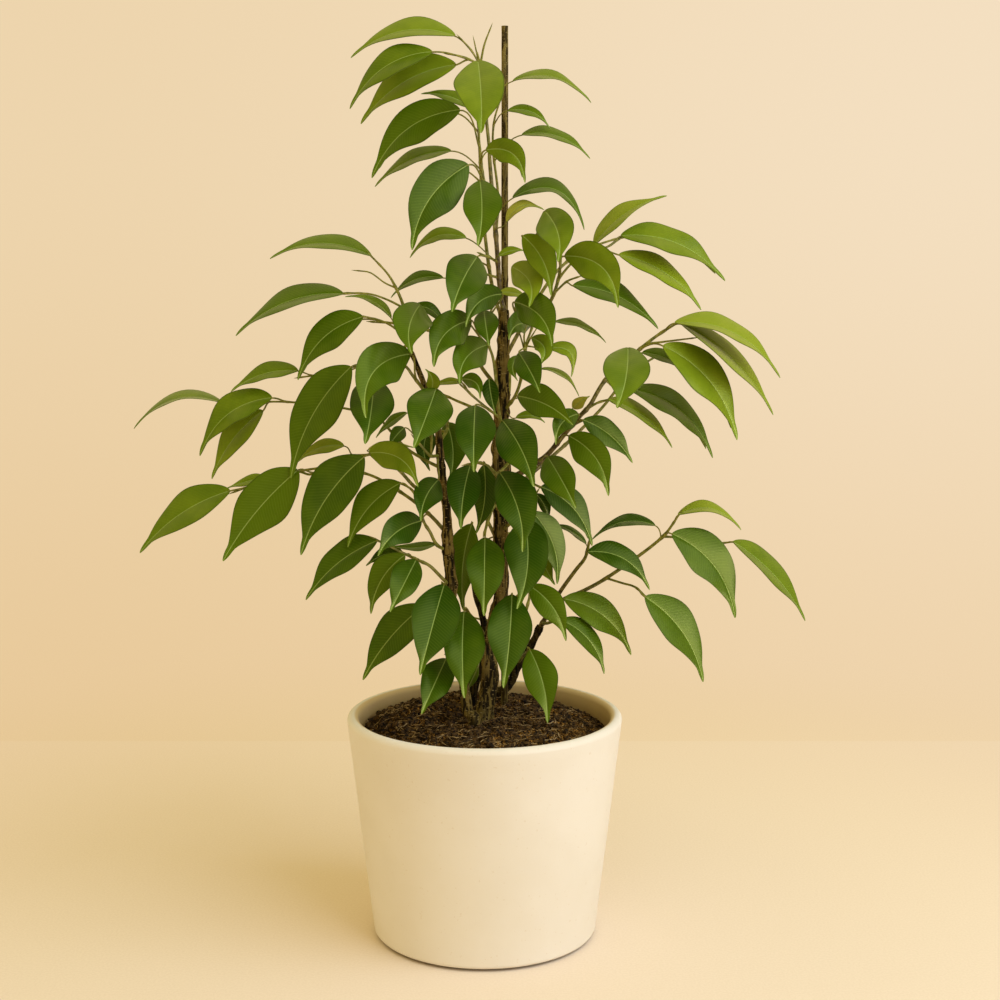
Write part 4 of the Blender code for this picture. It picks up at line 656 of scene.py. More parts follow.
class Nodes:
    """A node tree, with a short word for each kind of pattern that is painted with it."""

    def __init__(self, tree):
        self.tree = tree

    def fill(self, node, pairs):
        """Link a node's inputs, or set them to values."""
        for key, value in pairs:
            socket = node.inputs[key]
            if isinstance(value, bpy.types.NodeSocket):
                self.tree.links.new(value, socket)
            else:
                socket.default_value = (*value, 1.0) if socket.type == "RGBA" else value

    def add(self, kind, *values, **settings):
        """A node with its settings, its first inputs filled in turn."""
        node = self.tree.nodes.new("ShaderNode" + kind)
        for key, setting in settings.items():
            setattr(node, key, setting)
        self.fill(node, enumerate(values))
        return node

    def maths(self, operation, *values):
        """One step of arithmetic."""
        return self.add("Math", *values, operation=operation).outputs[0]

    def times(self, first, second):
        """The product of two values."""
        return self.maths("MULTIPLY", first, second)

    def line(self, value, slope, start):
        """A value times a slope, on top of a start."""
        return self.maths("MULTIPLY_ADD", value, slope, start)

    def mix(self, factor, first, second, kind="MIX"):
        """Mix two colours."""
        node = self.add("Mix", data_type="RGBA", blend_type=kind)
        self.fill(node, ((0, factor), (6, first), (7, second)))
        return node.outputs[2]

    def coats(self, colour, *coats):
        """A colour with coats laid over it in turn, each a cover and a colour."""
        for cover, coat in coats:
            colour = self.mix(cover, colour, coat)
        return colour

    def spread(self, value, low, high, out_low=0.0, out_high=1.0):
        """Smooth step of a value from low to high."""
        values = (value, low, high, out_low, out_high)
        return self.add("MapRange", *values, interpolation_type="SMOOTHSTEP").outputs[0]

    def place(self, stretch=(1, 1, 1)):
        """Object coordinates, stretched along each axis."""
        mapping = self.add("Mapping", self.add("TexCoord").outputs["Object"])
        self.fill(mapping, (("Scale", stretch),))
        return mapping.outputs[0]

    def speckle(self, place, scale, detail=3.0, roughness=0.55):
        """Noise at a scale given in cells a metre."""
        node = self.add("TexNoise", place)
        self.fill(node, (("Scale", scale), ("Detail", detail), ("Roughness", roughness)))
        return node.outputs[0]

    def dots(self, place, scale, low, high, strength):
        """Round spots, one to a cell, at a scale given in cells a metre."""
        node = self.add("TexVoronoi", place)
        self.fill(node, (("Scale", scale),))
        return self.spread(node.outputs["Distance"], low, high, strength, 0.0)

    def parts(self, place):
        """The three parts of a vector."""
        return list(self.add("SeparateXYZ", place).outputs)

    def from_axis(self, place):
        """Distance from the pot's axis."""
        across, deep = self.parts(place)[:2]
        squares = self.maths("ADD", self.times(across, across), self.times(deep, deep))
        return self.maths("SQRT", squares)


class Look(Nodes):
    """A material and its shader, with the values that are the same all over."""

    def __init__(self, name, roughness, specular):
        self.material = bpy.data.materials.new(name)
        self.material.use_nodes = True
        super().__init__(self.material.node_tree)
        self.shader = self.tree.nodes["Principled BSDF"]
        self.dress(("Roughness", roughness), ("Specular IOR Level", specular))

    def dress(self, *pairs):
        """Fill the shader's inputs."""
        self.fill(self.shader, pairs)

    def finish(self, colour, height, depth, strength):
        """The colour, and a relief with its depth in metres."""
        bump = self.add("Bump")
        self.fill(bump, (("Strength", strength), ("Distance", depth), ("Height", height)))
        self.dress(("Base Color", colour), ("Normal", bump.outputs[0]))
        return self.material


def glazed_clay():
    """Cream clay with a soft satin glaze, faintly clouded, with painted shade over the inside wall, deepest
    near the soil, and a painted shadow at its foot.
    """
    look = Look("cream_clay", 0.42, 0.06)
    place = look.place()
    height = look.parts(place)[2]
    cloud = look.spread(look.speckle(place, 14.0, 4.0), 0.35, 0.68)
    pores = look.spread(look.speckle(place, 420.0, 1.0), 0.70, 0.76, 0.0, 0.22)
    # Painted shade: the inside wall is darkened and warmed, and darker still near the soil, where the leaves
    # shade it.
    inner = look.spread(look.from_axis(place), POT_TOP_RADIUS - 6.5 * MM,
                        POT_TOP_RADIUS - 4.5 * MM, 1.0, 0.0)
    inside = look.times(inner, look.spread(height, SOIL_TOP - 12 * MM, SOIL_TOP - 8 * MM))
    level = look.line(cloud, -3 * MM, height)
    painted_soil_shade = look.spread(level, SOIL_TOP, POT_HEIGHT - 1 * MM, 0.50, 0.0)
    # Painted shadow: the foot and underside are dark, fading out just above the foot, where the pot meets
    # the floor.
    foot = look.spread(height, POT_FOOT_HEIGHT, POT_FOOT_HEIGHT + 0.5 * MM, 0.85, 0.0)
    colour = look.coats(
        (0.815, 0.755, 0.68),
        (cloud, (0.785, 0.72, 0.635)),
        (pores, (0.60, 0.46, 0.30)),
        # Painted shade over the inside wall, then deeper painted shade near the soil.
        (look.times(inside, 0.80), (0.72, 0.50, 0.190)),
        (look.times(inside, painted_soil_shade), (0.34, 0.19, 0.045)),
        (foot, (0.16, 0.10, 0.045)))
    look.dress(("Roughness", look.spread(cloud, 0.0, 1.0, 0.38, 0.47)))
    grain = look.line(look.speckle(place, 900.0, 2.0), 0.25, look.speckle(place, 45.0, 2.0))
    return look.finish(colour, grain, 0.25 * MM, 0.5)


def peat():
    """Dark peat with damp patches, painted shade to the left and darker along the wall, with brown fibre and
    pale flecks.
    """
    look = Look("peat", 0.92, 0.02)
    place = look.place()
    patches = look.speckle(place, 55.0, 2.0)
    lumps = look.speckle(place, 210.0, 6.0, 0.72)
    grit = look.speckle(place, 760.0, 3.0, 0.7)
    strands = look.speckle(look.place((1.0, 0.22, 1.0)), 900.0, 3.0, 0.6)
    # Damp patches leaned across the bed: painted shade, darker to the left and lighter to the right, where
    # the plant's shadow falls.
    damp_and_painted_shade = look.line(look.parts(place)[0], 0.9, patches)
    edge = (POT_TOP_RADIUS - 19 * MM, POT_TOP_RADIUS - 10 * MM)
    colour = look.coats(
        (0.006, 0.0030, 0.001),
        (look.spread(lumps, 0.44, 0.60), (0.108, 0.050, 0.010)),
        (look.spread(grit, 0.55, 0.61, 0.0, 0.95), (0.55, 0.260, 0.050)),
        (look.spread(strands, 0.60, 0.66, 0.0, 0.85), (0.62, 0.340, 0.090)),
        (look.dots(place, 420.0, 0.08, 0.13, 0.8), (0.50, 0.31, 0.11)),
        (look.spread(damp_and_painted_shade, 0.42, 0.56, 0.85, 0.0), DAMP_AND_SHADED_PEAT),
        # Darker along the wall.
        (look.spread(look.from_axis(place), *edge, 0.0, 0.55), DAMP_AND_SHADED_PEAT))
    return look.finish(colour, look.line(grit, 0.8, lumps), 2.0 * MM, 1.0)


def plain_fibre(name, pale, deep):
    """Straw, root fibre or bark chip: streaks between two browns."""
    look = Look(name, 0.85, 0.1)
    streak = look.spread(look.speckle(look.place(), 420.0, 4.0, 0.7), 0.40, 0.60)
    return look.finish(look.mix(streak, deep, pale), streak, 0.3 * MM, 0.5)


def bark(name, pale, deep, lenticel, shine=0.8):
    """Fissured brown bark with small raised lenticels, wider than they are tall; darker low down."""
    look = Look(name, shine, 0.03)
    place = look.place()
    grain = look.speckle(look.place((1.0, 1.0, 0.14)), 440.0, 4.0, 0.62)
    lenticels = look.dots(look.place((0.8, 0.8, 2.1)), 330.0, 0.16, 0.30, 1.0)
    colour = look.coats(
        deep,
        (look.spread(grain, 0.42, 0.59), pale),
        (look.spread(look.speckle(place, 95.0, 3.0), 0.40, 0.66, 0.0, 0.30), deep),
        (look.times(lenticels, 0.55), lenticel),
        (look.spread(look.parts(place)[2], SOIL_TOP + 4 * MM, SOIL_TOP + 60 * MM, 0.22, 0.0), deep))
    return look.finish(colour, look.line(lenticels, 0.6, grain), 1.0 * MM, 1.0)


def green_twig():
    """Young twig and leaf stalk: olive green, browner where the twig is thick."""
    look = Look("green_twig", 0.5, 0.12)
    place = look.place()
    tone = look.add("Attribute", attribute_name="leaf_tone").outputs["Color"]
    mottle = look.speckle(place, 260.0, 4.0)
    patches = look.spread(mottle, 0.35, 0.65)
    dots = look.dots(place, 420.0, 0.14, 0.22, 0.5)
    colour = look.coats(
        look.mix(patches, (0.135, 0.140, 0.014), (0.27, 0.25, 0.040)),
        (look.add("SeparateColor", tone).outputs[0],
         look.mix(patches, (0.052, 0.034, 0.009), (0.18, 0.130, 0.034))),
        (dots, (0.30, 0.22, 0.10)))
    return look.finish(colour, look.line(dots, 0.5, mottle), 0.3 * MM, 0.6)


def leaf_skin():
    """Glossy leaf: pale midrib, fine side veins, dark rim, light drip tip, dull underside."""
    look = Look("fig_leaf", 0.30, 0.25)
    look.dress(("Specular Tint", (0.92, 1.0, 0.26)))
    tone = look.add("Attribute", attribute_name="leaf_tone").outputs
    yellow, top, chance = look.add("SeparateColor", tone["Color"]).outputs
    along = tone["Alpha"]
    on_leaf = look.add("Attribute", attribute_name="leaf_place").outputs["Vector"]
    sideways, lengthways, outwards = look.parts(on_leaf)
    place = look.place()
    cloud = look.speckle(place, 75.0, 3.0)
    sway = look.speckle(place, 60.0, 0.0)

    out = look.maths("ABSOLUTE", sideways)
    wander = look.line(cloud, VEIN_SWAY, look.line(out, -VEIN_SLANT, lengthways))
    turns = look.times(wander, math.tau / VEIN_SPACING)
    wave = look.line(look.maths("COSINE", turns), 0.5, 0.5)
    inside = look.spread(outwards, 0.72, 0.95, 1.0, 0.0)
    vein = look.times(look.maths("POWER", wave, 6.0), inside)
    midrib = look.spread(out, 0.12 * MM, 0.50 * MM, 1.0, 0.0)
    rim = look.spread(outwards, 0.93, 0.975)
    drip = look.spread(along, 0.74, 0.96)
    depth = look.line(cloud, 0.32, look.maths("SUBTRACT", yellow, 0.16))
    upper = look.coats(
        (0.018, 0.052, 0.001),
        (look.spread(depth, 0.0, 0.48), (0.070, 0.123, 0.002)),
        (look.spread(depth, 0.45, 0.95), (0.205, 0.268, 0.010)),
        # Palest coat: young leaves, and painted light on leaves that sit in cast shadows.
        (look.spread(depth, 0.88, 1.32), (0.395, 0.384, 0.052)),
        (look.times(vein, 0.13), (0.20, 0.28, 0.04)),
        (look.times(drip, 0.30), (0.14, 0.24, 0.008)),
        (look.times(rim, 0.55), (0.020, 0.040, 0.001)),
        (look.times(midrib, 0.68), (0.31, 0.40, 0.10)))
    under = look.coats(
        (0.116, 0.180, 0.018),
        (cloud, (0.168, 0.230, 0.030)),
        (look.times(midrib, 0.6), (0.29, 0.33, 0.11)),
        (look.times(vein, 0.25), (0.21, 0.25, 0.07)))

    gloss = look.line(chance, 0.06, 0.27)
    look.dress(("Roughness", look.line(look.maths("SUBTRACT", 1.0, top), 0.22, gloss)))
    height = look.line(sway, 1.6, look.line(vein, -0.10, look.times(wave, -0.03)))
    fading = look.spread(along, 0.50, 0.82, 0.45, 0.0)
    return look.finish(look.mix(top, under, upper), height, 0.30 * MM, fading)


# Meshes


def add_object(name, data):
    """A new object in the scene."""
    made = bpy.data.objects.new(name, data)
    bpy.context.scene.collection.objects.link(made)
    return made


def add_mesh(name, form, materials):
    """An object from a bmesh, which is used up."""
    mesh = bpy.data.meshes.new(name)
    form.to_mesh(mesh)
    form.free()
    for material in materials:
        mesh.materials.append(material)
    return add_object(name, mesh)


def add_piece(name, form, materials, slot, *nodes, sharp=40):
    """Finish a piece: normals out, smooth faces, and its place on the plant's one body."""
    bmesh.ops.recalc_face_normals(form, faces=form.faces[:])
    piece = add_mesh(name, form, materials)
    piece.data.shade_smooth()
    piece.data.set_sharp_from_angle(angle=math.radians(sharp))
    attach(piece, BODY)
    if nodes:
        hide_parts(*nodes)


def ring_places(points):
    """A place for each ring of a tube: at its point, facing along, without twist."""
    places = []
    turn = None
    for index, point in enumerate(points):
        tangent = points[min(index + 1, len(points) - 1)] - points[max(index - 1, 0)]
        if turn is None:
            turn = tangent.to_track_quat("Z", "Y")
        else:
            turn = (turn @ Vector((0, 0, 1))).rotation_difference(tangent) @ turn
        places.append(Matrix.Translation(point) @ turn.to_matrix().to_4x4())
    return places


def grow_tube(form, points, radii, sides):
    """Closed tube: a capped circle extruded from place to place. Returns its vertices."""
    places = ring_places(points)
    ring = bmesh.ops.create_circle(form, cap_ends=True, segments=sides, radius=radii[0],
                                   matrix=places[0])["verts"]
    cap = ring[0].link_faces[0]
    grown_verts = list(ring)
    for index in range(1, len(points)):
        grown = bmesh.ops.extrude_face_region(form, geom=[cap])["geom"]
        cap = next(item for item in grown if isinstance(item, bmesh.types.BMFace))
        ring = [item for item in grown if isinstance(item, bmesh.types.BMVert)]
        grow = Matrix.Scale(radii[index] / radii[index - 1], 4)
        move = places[index] @ grow @ places[index - 1].inverted()
        bmesh.ops.transform(form, matrix=move, verts=ring)
        grown_verts += ring
    return grown_verts


def turned(profile, steps):
    """Solid turned about the upright axis from a profile that starts and ends on it."""
    form = bmesh.new()
    verts = [form.verts.new((radius, 0, height)) for radius, height in profile]
    edges = [form.edges.new(pair) for pair in zip(verts, verts[1:])]
    bmesh.ops.spin(form, geom=verts + edges, axis=(0, 0, 1), cent=(0, 0, 0),
                   angle=math.tau, steps=steps, use_merge=True)
    bmesh.ops.remove_doubles(form, verts=form.verts[:], dist=WELD)
    bmesh.ops.dissolve_degenerate(form, edges=form.edges[:], dist=WELD)
    return form


def arc(centre, radius, start, end, steps):
    """Points of an arc in the profile's plane, its angles in degrees."""
    angles = [math.radians(start + (end - start) * k / steps) for k in range(steps + 1)]
    return [(centre[0] + radius * math.cos(a), centre[1] + radius * math.sin(a)) for a in angles]


def straight(start, end, steps):
    """Points between two profile points, both left out."""
    return [tuple(Vector(start).lerp(Vector(end), k / steps)) for k in range(1, steps)]


def build_pot(clay):
    """The pot: raised foot, tapered wall, a rim rounded over to the inside."""
    rim = POT_WALL / 2
    rim_height = POT_HEIGHT - rim
    low = (wall_radius(POT_EDGE + POT_FOOT_HEIGHT), POT_EDGE + POT_FOOT_HEIGHT)
    high = (wall_radius(rim_height), rim_height)
    inner_high = (wall_radius(rim_height, POT_WALL), rim_height)
    inner_low = (wall_radius(POT_FLOOR + POT_CORNER, POT_WALL), POT_FLOOR + POT_CORNER)
    profile = [(0.0, 0.0)] + straight((0, 0), (POT_FOOT_RADIUS, 0.0), 6)
    profile += arc((POT_FOOT_RADIUS - POT_FOOT_EDGE, POT_FOOT_EDGE), POT_FOOT_EDGE, -90, 0, 4)
    profile += [(POT_FOOT_RADIUS, POT_FOOT_HEIGHT)]
    profile += arc((low[0] - POT_EDGE, low[1]), POT_EDGE, -78, 0, 8)
    profile += straight(low, high, 24)
    profile += arc((high[0] - rim, rim_height), rim, 0, 180, 18)
    profile += straight(inner_high, inner_low, 10) + [inner_low]
    profile += [(inner_low[0] - POT_CORNER_BEND, POT_FLOOR + POT_CORNER_BEND),
                (inner_low[0] - POT_CORNER, POT_FLOOR), (0.0, POT_FLOOR)]
    form = turned(profile, POT_STEPS)
    for vert in form.verts:
        flat = Vector((vert.co.x, vert.co.y, 0))
        if flat.length > POT_FOOT_RADIUS and vert.co.z > POT_FOOT_HEIGHT:
            wave = noise(vert.co * POT_WAVES_PER_METRE) * POT_WAVE
            vert.co += flat.normalized() * wave
    add_piece("glazed_pot", form, [clay], "pot", "pot", sharp=50)


def scattered(rng, reach):
    """A random spot within reach of the pot's axis."""
    angle = rng.uniform(0, math.tau)
    distance = reach * math.sqrt(rng.random())
    return distance * math.cos(angle), distance * math.sin(angle)


def build_soil(peat_material, crumb_material, fibre_materials):
    """Peat: a fine lumpy surface, crumbs, root fibre and bits of straw, all scattered by a seed."""
    floor = POT_FLOOR + SOIL_FLOOR_GAP
    inset = POT_WALL + SOIL_WALL_GAP
    reach = wall_radius(SOIL_TOP, inset)
    corner = floor + SOIL_CORNER_HEIGHT
    profile = [(0.0, floor), (wall_radius(floor, inset) - SOIL_CORNER_WIDTH, floor),
               (wall_radius(corner, inset), corner)]
    profile += [(reach * (1 - ring / SOIL_RINGS), SOIL_TOP) for ring in range(SOIL_RINGS)]
    form = turned(profile + [(0.0, SOIL_TOP)], SOIL_STEPS)
    for vert in form.verts:
        x, y, z = vert.co
        if z > SOIL_TOP - 1 * MM:
            spot = Vector((x, y, 0.0)) * SOIL_GRAIN_PER_METRE
            rough = fractal(spot, *SOIL_GRAIN_FRACTAL) * SOIL_ROUGH
            vert.co.z = soil_height(x, y) + rough
    add_piece("peat_bed", form, [peat_material], "soil", "soil", sharp=180)

    rng = random.Random(SOIL_SEED)
    crumbs = bmesh.new()
    for count in range(CRUMB_COUNT):
        x, y = scattered(rng, reach - CRUMB_MARGIN)
        size = rng.choice(CRUMB_SIZES_MM) * MM
        place = Matrix.Translation((x, y, soil_height(x, y) + size * CRUMB_LIFT))
        shape = Matrix.Diagonal((size, size * rng.uniform(*CRUMB_WIDTHS),
                                 size * rng.uniform(*CRUMB_HEIGHTS), 1))
        turn = Matrix.Rotation(rng.uniform(0, math.tau), 4, "Z")
        tilt = Matrix.Rotation(rng.uniform(-CRUMB_TILT, CRUMB_TILT), 4, "X")
        ball = bmesh.ops.create_icosphere(crumbs, subdivisions=1, radius=1.0,
                                          matrix=place @ (turn @ tilt) @ shape)
        for vert in ball["verts"]:
            vert.co += Vector([rng.uniform(-CRUMB_DENT, CRUMB_DENT) * size for axis in range(3)])
    add_piece("peat_crumbs", crumbs, [crumb_material], "soil", sharp=25)

    for number, (fibre, (name, amount)) in enumerate(zip(fibre_materials, STRAND_COUNTS)):
        strands = bmesh.new()
        for count in range(amount):
            x, y = scattered(rng, reach - STRAND_MARGIN)
            heading = rng.uniform(0, math.tau)
            length = rng.uniform(*STRAND_LENGTHS_MM) * MM
            curl = rng.uniform(-STRAND_CURL, STRAND_CURL)
            thick = rng.uniform(*STRAND_RADII_MM) * MM * (1 + STRAND_GROWTH * number)
            spots = []
            gaps = len(STRAND_TAPER) - 1
            for k in range(gaps + 1):
                lift = rng.uniform(*STRAND_LIFTS_MM) * MM
                spots.append(Vector((x, y, soil_height(x, y) + lift)))
                x += math.cos(heading) * length / gaps
                y += math.sin(heading) * length / gaps
                heading += curl / gaps
            if max(math.hypot(spot.x, spot.y) for spot in spots) < reach - STRAND_CLEARANCE:
                grow_tube(strands, spots, [thick * share for share in STRAND_TAPER], 4)
        add_piece(name, strands, [fibre], "soil", sharp=60)


def build_cane(stick):
    """Support cane: a straight dark stick with a flat top and faint joints."""
    top = at_depth(*CANE_SEEN, CANE_DEPTH)
    low = Vector((top.x, top.y, SOIL_TOP + SOIL_MOUND - BURIED_DEPTH))
    points, radii = [], []
    for k in range(CANE_RINGS + 1):
        share = k / CANE_RINGS
        sway = Vector((noise(Vector((0, 0, share * 5))), noise(Vector((7, 0, share * 5))), 0))
        points.append(low.lerp(top, share) + sway * CANE_SWAY)
        joint = max(hill(share - at, CANE_JOINT_REACH) for at in CANE_JOINTS)
        rough = CANE_ROUGH * noise(Vector((3, 0, share * 40)))
        width = CANE_FOOT_SHARE - CANE_TAPER * share + CANE_JOINT_RISE * joint + rough
        radii.append(CANE_RADIUS * width)
    form = bmesh.new()
    grow_tube(form, points, radii, CANE_SIDES)
    add_piece("support_cane", form, [stick], "cane", "cane", sharp=50)


def build_stem(name, skin, knots):
    """A woody stem: ridged, knotted at its branches and flared where it enters the soil."""
    points, radii = stem_spine(name)
    run, sizes = smooth_run(points, radii, STEM_STEP)
    entry = points[0].z + BURIED_DEPTH
    form = bmesh.new()
    shaped = []
    for point, radius in zip(run, sizes):
        flare = STEM_FLARE * math.exp(-max(0.0, point.z - entry) / STEM_FLARE_REACH)
        knot = sum(KNOT_RISE * hill((point - spot).length, KNOT_REACH) for spot in knots)
        shaped.append(radius * (1 + flare + min(MOST_KNOT, knot)))
    for index, vert in enumerate(grow_tube(form, run, shaped, STEM_SIDES)):
        x, y, z = vert.co
        outward = vert.co - run[min(index // STEM_SIDES, len(run) - 1)]
        vert.co += outward * sum(rise * noise(Vector((x * around, y * around, z * along)))
                                 for rise, around, along in BARK_GRAINS)
    add_piece(name + "_bark", form, [skin], "stem", name, sharp=60)


def grow_leaf(form, shape, row, tone, rng, layers):
    """One leaf blade: a grid bent over its midrib, then extruded to its thickness."""
    up, place, colour = layers
    across, along = BLADE_GRID if row.width > SMALL_LEAF_PX else SMALL_BLADE_GRID
    verts = bmesh.ops.create_grid(form, x_segments=across, y_segments=along, size=1)["verts"]
    faces = list({face for vert in verts for face in vert.link_faces})
    phase = rng.uniform(0, math.tau)
    waves = rng.uniform(*RIPPLE_WAVES)
    lift = rng.uniform(*RIPPLE_LIFT)
    chance = rng.random()
    lean = rng.uniform(-MOST_LOPSIDED, MOST_LOPSIDED)
    for vert in verts:
        u = math.copysign(abs(vert.co.x) ** 1.35, vert.co.x)
        s = (vert.co.y + 1) / 2
        t = 0.45 * s + 0.55 * (1 - math.cos(math.pi * s)) / 2
        right = u > 0
        lateral, normal = shape.frame(t)[1:]
        notch = 1 + NOTCH_DEPTH * math.sin(NOTCH_WAVES * math.tau * t + phase * 2 + 2.1 * right)
        width = shape.half_width * outline(t) * (1 + (lean if right else -lean)) * notch
        height = width * (FOLD_RISE * abs(u) - EDGE_CURL * abs(u) ** 3)
        ripple = math.sin(waves * math.tau * t + phase + 1.3 * right)
        height += shape.half_width * lift * ripple * u * u * math.sin(math.pi * t)
        vert.co = shape.midrib(t) + lateral * (u * width * RIM_SHARE) + normal * height
        vert[up] = normal
        vert[place] = (u * width, t * shape.length, abs(u))
        vert[colour] = (tone, 0.0, chance, t)
    grown = bmesh.ops.extrude_face_region(form, geom=faces)["geom"]
    for vert in grown:
        if isinstance(vert, bmesh.types.BMVert):
            groove = MIDRIB_GROOVE * hill(vert[place].x, MIDRIB_GROOVE_REACH)
            vert.co += vert[up] * (BLADE_THICKNESS - groove)
            vert[colour] = (tone, 1.0, chance, vert[colour][3])
    for vert in verts:
        ridge = MIDRIB_RIDGE * hill(vert[place].x, MIDRIB_RIDGE_REACH) * (1 - vert[colour][3])
        vert.co -= vert[up] * ridge


def stalk_foot(points, radii, spot):
    """Where a stalk leaves its twig, some way back from the nearest point, and the heading there."""
    foot, radius, distance = nearest_on(points, radii, spot)
    nearest = min(range(len(points)), key=lambda k: (points[k] - foot).length)
    back = distance * STALK_SLANT
    while nearest > 1 and back > 0:
        back -= (points[nearest] - points[nearest - 1]).length
        nearest -= 1
    if back < distance * STALK_SLANT:
        foot = points[nearest]
    ahead = points[min(nearest + 1, len(points) - 1)] - points[max(nearest - 1, 0)]
    return foot, ahead.normalized(), distance


def petiole_run(foot, heading, shape):
    """A stalk that leaves the twig forward and bends over into the midrib."""
    end = shape.midrib(STALK_END)
    straight_on = (end - foot).normalized()
    forward = max(0.0, straight_on.dot(heading))
    leave = (straight_on + heading * STALK_FORWARD * forward).normalized()
    pull = (end - foot).length * STALK_PULL
    first, second = foot + leave * pull, end - shape.frame(0.0)[0] * pull
    run = []
    for k in range(STALK_STEPS + 1):
        s = k / STALK_STEPS
        run.append(foot * (1 - s) ** 3 + first * (3 * s * (1 - s) ** 2)
                   + second * (3 * s * s * (1 - s)) + end * s ** 3)
    return run


def leaf_tone(row, rng):
    """How yellow a leaf is, with painted light and shade for some leaves: by its name, with a small seeded
    change.
    """
    name = row.name.replace("back_", "")
    tones = [tone for tone, names in LEAF_TONES_AND_PAINTED_LIGHT if name in names.split()] or [USUAL_TONE]
    return tones[0] + rng.uniform(-TONE_CHANGE, TONE_CHANGE)


def build_spray(name, spray, skins):
    """One spray: rounded twigs, stalks and leaves, each leaf at the depth of its solid."""
    rng = random.Random(name)
    solid_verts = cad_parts[name].data.vertices
    node_points = KDTree(len(solid_verts))
    for vert in solid_verts:
        node_points.insert(vert.co, vert.index)
    node_points.balance()

    spines = [spine(rows) for rows in spray.twigs]
    for index in range(1, len(spines)):
        feet = [nearest_on(*earlier, spines[index][0][0]) for earlier in spines[:index]]
        spines[index][0][0] = min(feet, key=lambda found: found[2])[0]
    runs = [smooth_run(points, radii, TWIG_STEP) for points, radii in spines]
    leaves = []
    for row in spray.leaves:
        shape = LeafShape(row, settled_shift(row, node_points))
        feet = [stalk_foot(points, radii, shape.base) for points, radii in runs]
        number = min(range(len(feet)), key=lambda found: feet[found][2])
        leaves.append((row, shape, number, *feet[number][:2]))

    form = bmesh.new()
    up = form.verts.layers.float_vector.new("up")
    place = form.verts.layers.float_vector.new("leaf_place")
    colour = form.verts.layers.float_color.new("leaf_tone")
    for number, (points, radii) in enumerate(runs):
        joints = [foot for row, shape, on, foot, heading in leaves if on == number]
        joints += [points[0] for points, radii in runs[1:]]
        shaped = []
        for point, radius in zip(points, radii):
            swell = max([hill((point - joint).length, JOINT_REACH) for joint in joints], default=0.0)
            slim = 1.0 - THICK_TWIG_SLIMMING * clamped(radius / MM - THICK_TWIG_MM)
            shaped.append(radius * slim * (1 + JOINT_SWELL * swell))
        for index, vert in enumerate(grow_tube(form, points, shaped, TWIG_SIDES)):
            radius = radii[min(index // TWIG_SIDES, len(radii) - 1)]
            brown = clamped((radius / MM - BROWN_FROM_MM) / BROWN_OVER_MM)
            vert[colour] = (brown, 1.0, 0.5, 0.0)
        tip = points[-1]
        heading = (tip - points[-2]).normalized()
        bud = [tip + heading * ahead for ahead, share in BUD_RINGS]
        sizes = [radii[-1] * share for ahead, share in BUD_RINGS]
        for vert in grow_tube(form, bud, sizes, STALK_SIDES):
            vert[colour] = (0.0, 1.0, 0.5, 0.0)
    for row, shape, number, foot, heading in leaves:
        slim = PETIOLE_RADIUS * min(1.0, PETIOLE_LEAST + row.width / PETIOLE_FULL_PX)
        sizes = [slim * (PETIOLE_FOOT_SHARE - PETIOLE_TAPER * min(1.0, k / 3))
                 for k in range(STALK_STEPS + 1)]
        for vert in grow_tube(form, petiole_run(foot, heading, shape), sizes, STALK_SIDES):
            vert[colour] = (PETIOLE_BROWN, 1.0, 0.5, 0.0)
    twig_faces = len(form.faces)
    for row, shape, number, foot, heading in leaves:
        grow_leaf(form, shape, row, leaf_tone(row, rng), rng, (up, place, colour))
    form.faces.ensure_lookup_table()
    form.faces.index_update()
    for face in form.faces[twig_faces:]:
        face.material_index = 1
    add_piece(name + "_leaves", form, skins, "leaf", name)


def stem_knots(name, sprays):
    """Where the sprays leave a stem."""
    return [spine(spray.twigs[0])[0][0] for spray in sprays.values() if spray.seat == name]


# Stage, light and camera


def backdrop_colour(nodes, direction):
    """Warm backdrop from a sight direction, with painted light: lighter to the right, deeper lower down,
    lighter where the sight dips steeply.
    """
    parts = nodes.parts(direction)
    plain = nodes.mix(nodes.spread(parts[0], -0.30, 0.30), BACKDROP_LEFT, BACKDROP_RIGHT)
    low = nodes.spread(parts[2], -0.34, 0.10, 1.0, 0.0)
    near = nodes.spread(parts[2], -0.42, -0.28, 1.0, 0.0)
    plain = nodes.mix(low, plain, BACKDROP_LOW, "MULTIPLY")
    return nodes.mix(near, plain, BACKDROP_NEAR, "MULTIPLY")


def build_stage():
    """A wide pale floor that fades into the backdrop, a shade lighter before the wall's foot."""
    look = Look("pale_floor", 0.9, 0.1)
    place = look.place()
    behind = look.spread(look.parts(place)[1], WALL_FOOT - 2 * MM, WALL_FOOT + 2 * MM)
    shade = look.mix(behind, (1.016, 1.033, 1.083), (1.0, 1.0, 1.0))
    sand = look.spread(look.speckle(place, 620.0, 1.0), 0.30, 0.70)
    sand = look.mix(sand, (0.980, 0.976, 0.970), (1.020, 1.024, 1.030))
    shade = look.mix(1.0, shade, sand, "MULTIPLY")
    look.dress(("Base Color", look.mix(1.0, shade, FLOOR_COLOUR, "MULTIPLY")))
    line = look.add("VectorMath", place, EYE, operation="SUBTRACT").outputs[0]
    direction = look.add("VectorMath", line, operation="NORMALIZE").outputs[0]
    glow = look.add("Emission", look.mix(1.0, backdrop_colour(look, direction), shade, "MULTIPLY"))
    length = look.add("VectorMath", place, operation="LENGTH").outputs["Value"]
    fade = look.spread(length, *FLOOR_FADE)
    both = look.add("MixShader", fade, look.shader.outputs[0], glow.outputs[0])
    look.fill(look.tree.nodes["Material Output"], ((0, both.outputs[0]),))
    floor = bmesh.new()
    bmesh.ops.create_circle(floor, cap_ends=True, segments=96, radius=FLOOR_RADIUS)
    stage = add_mesh("floor", floor, [look.material])


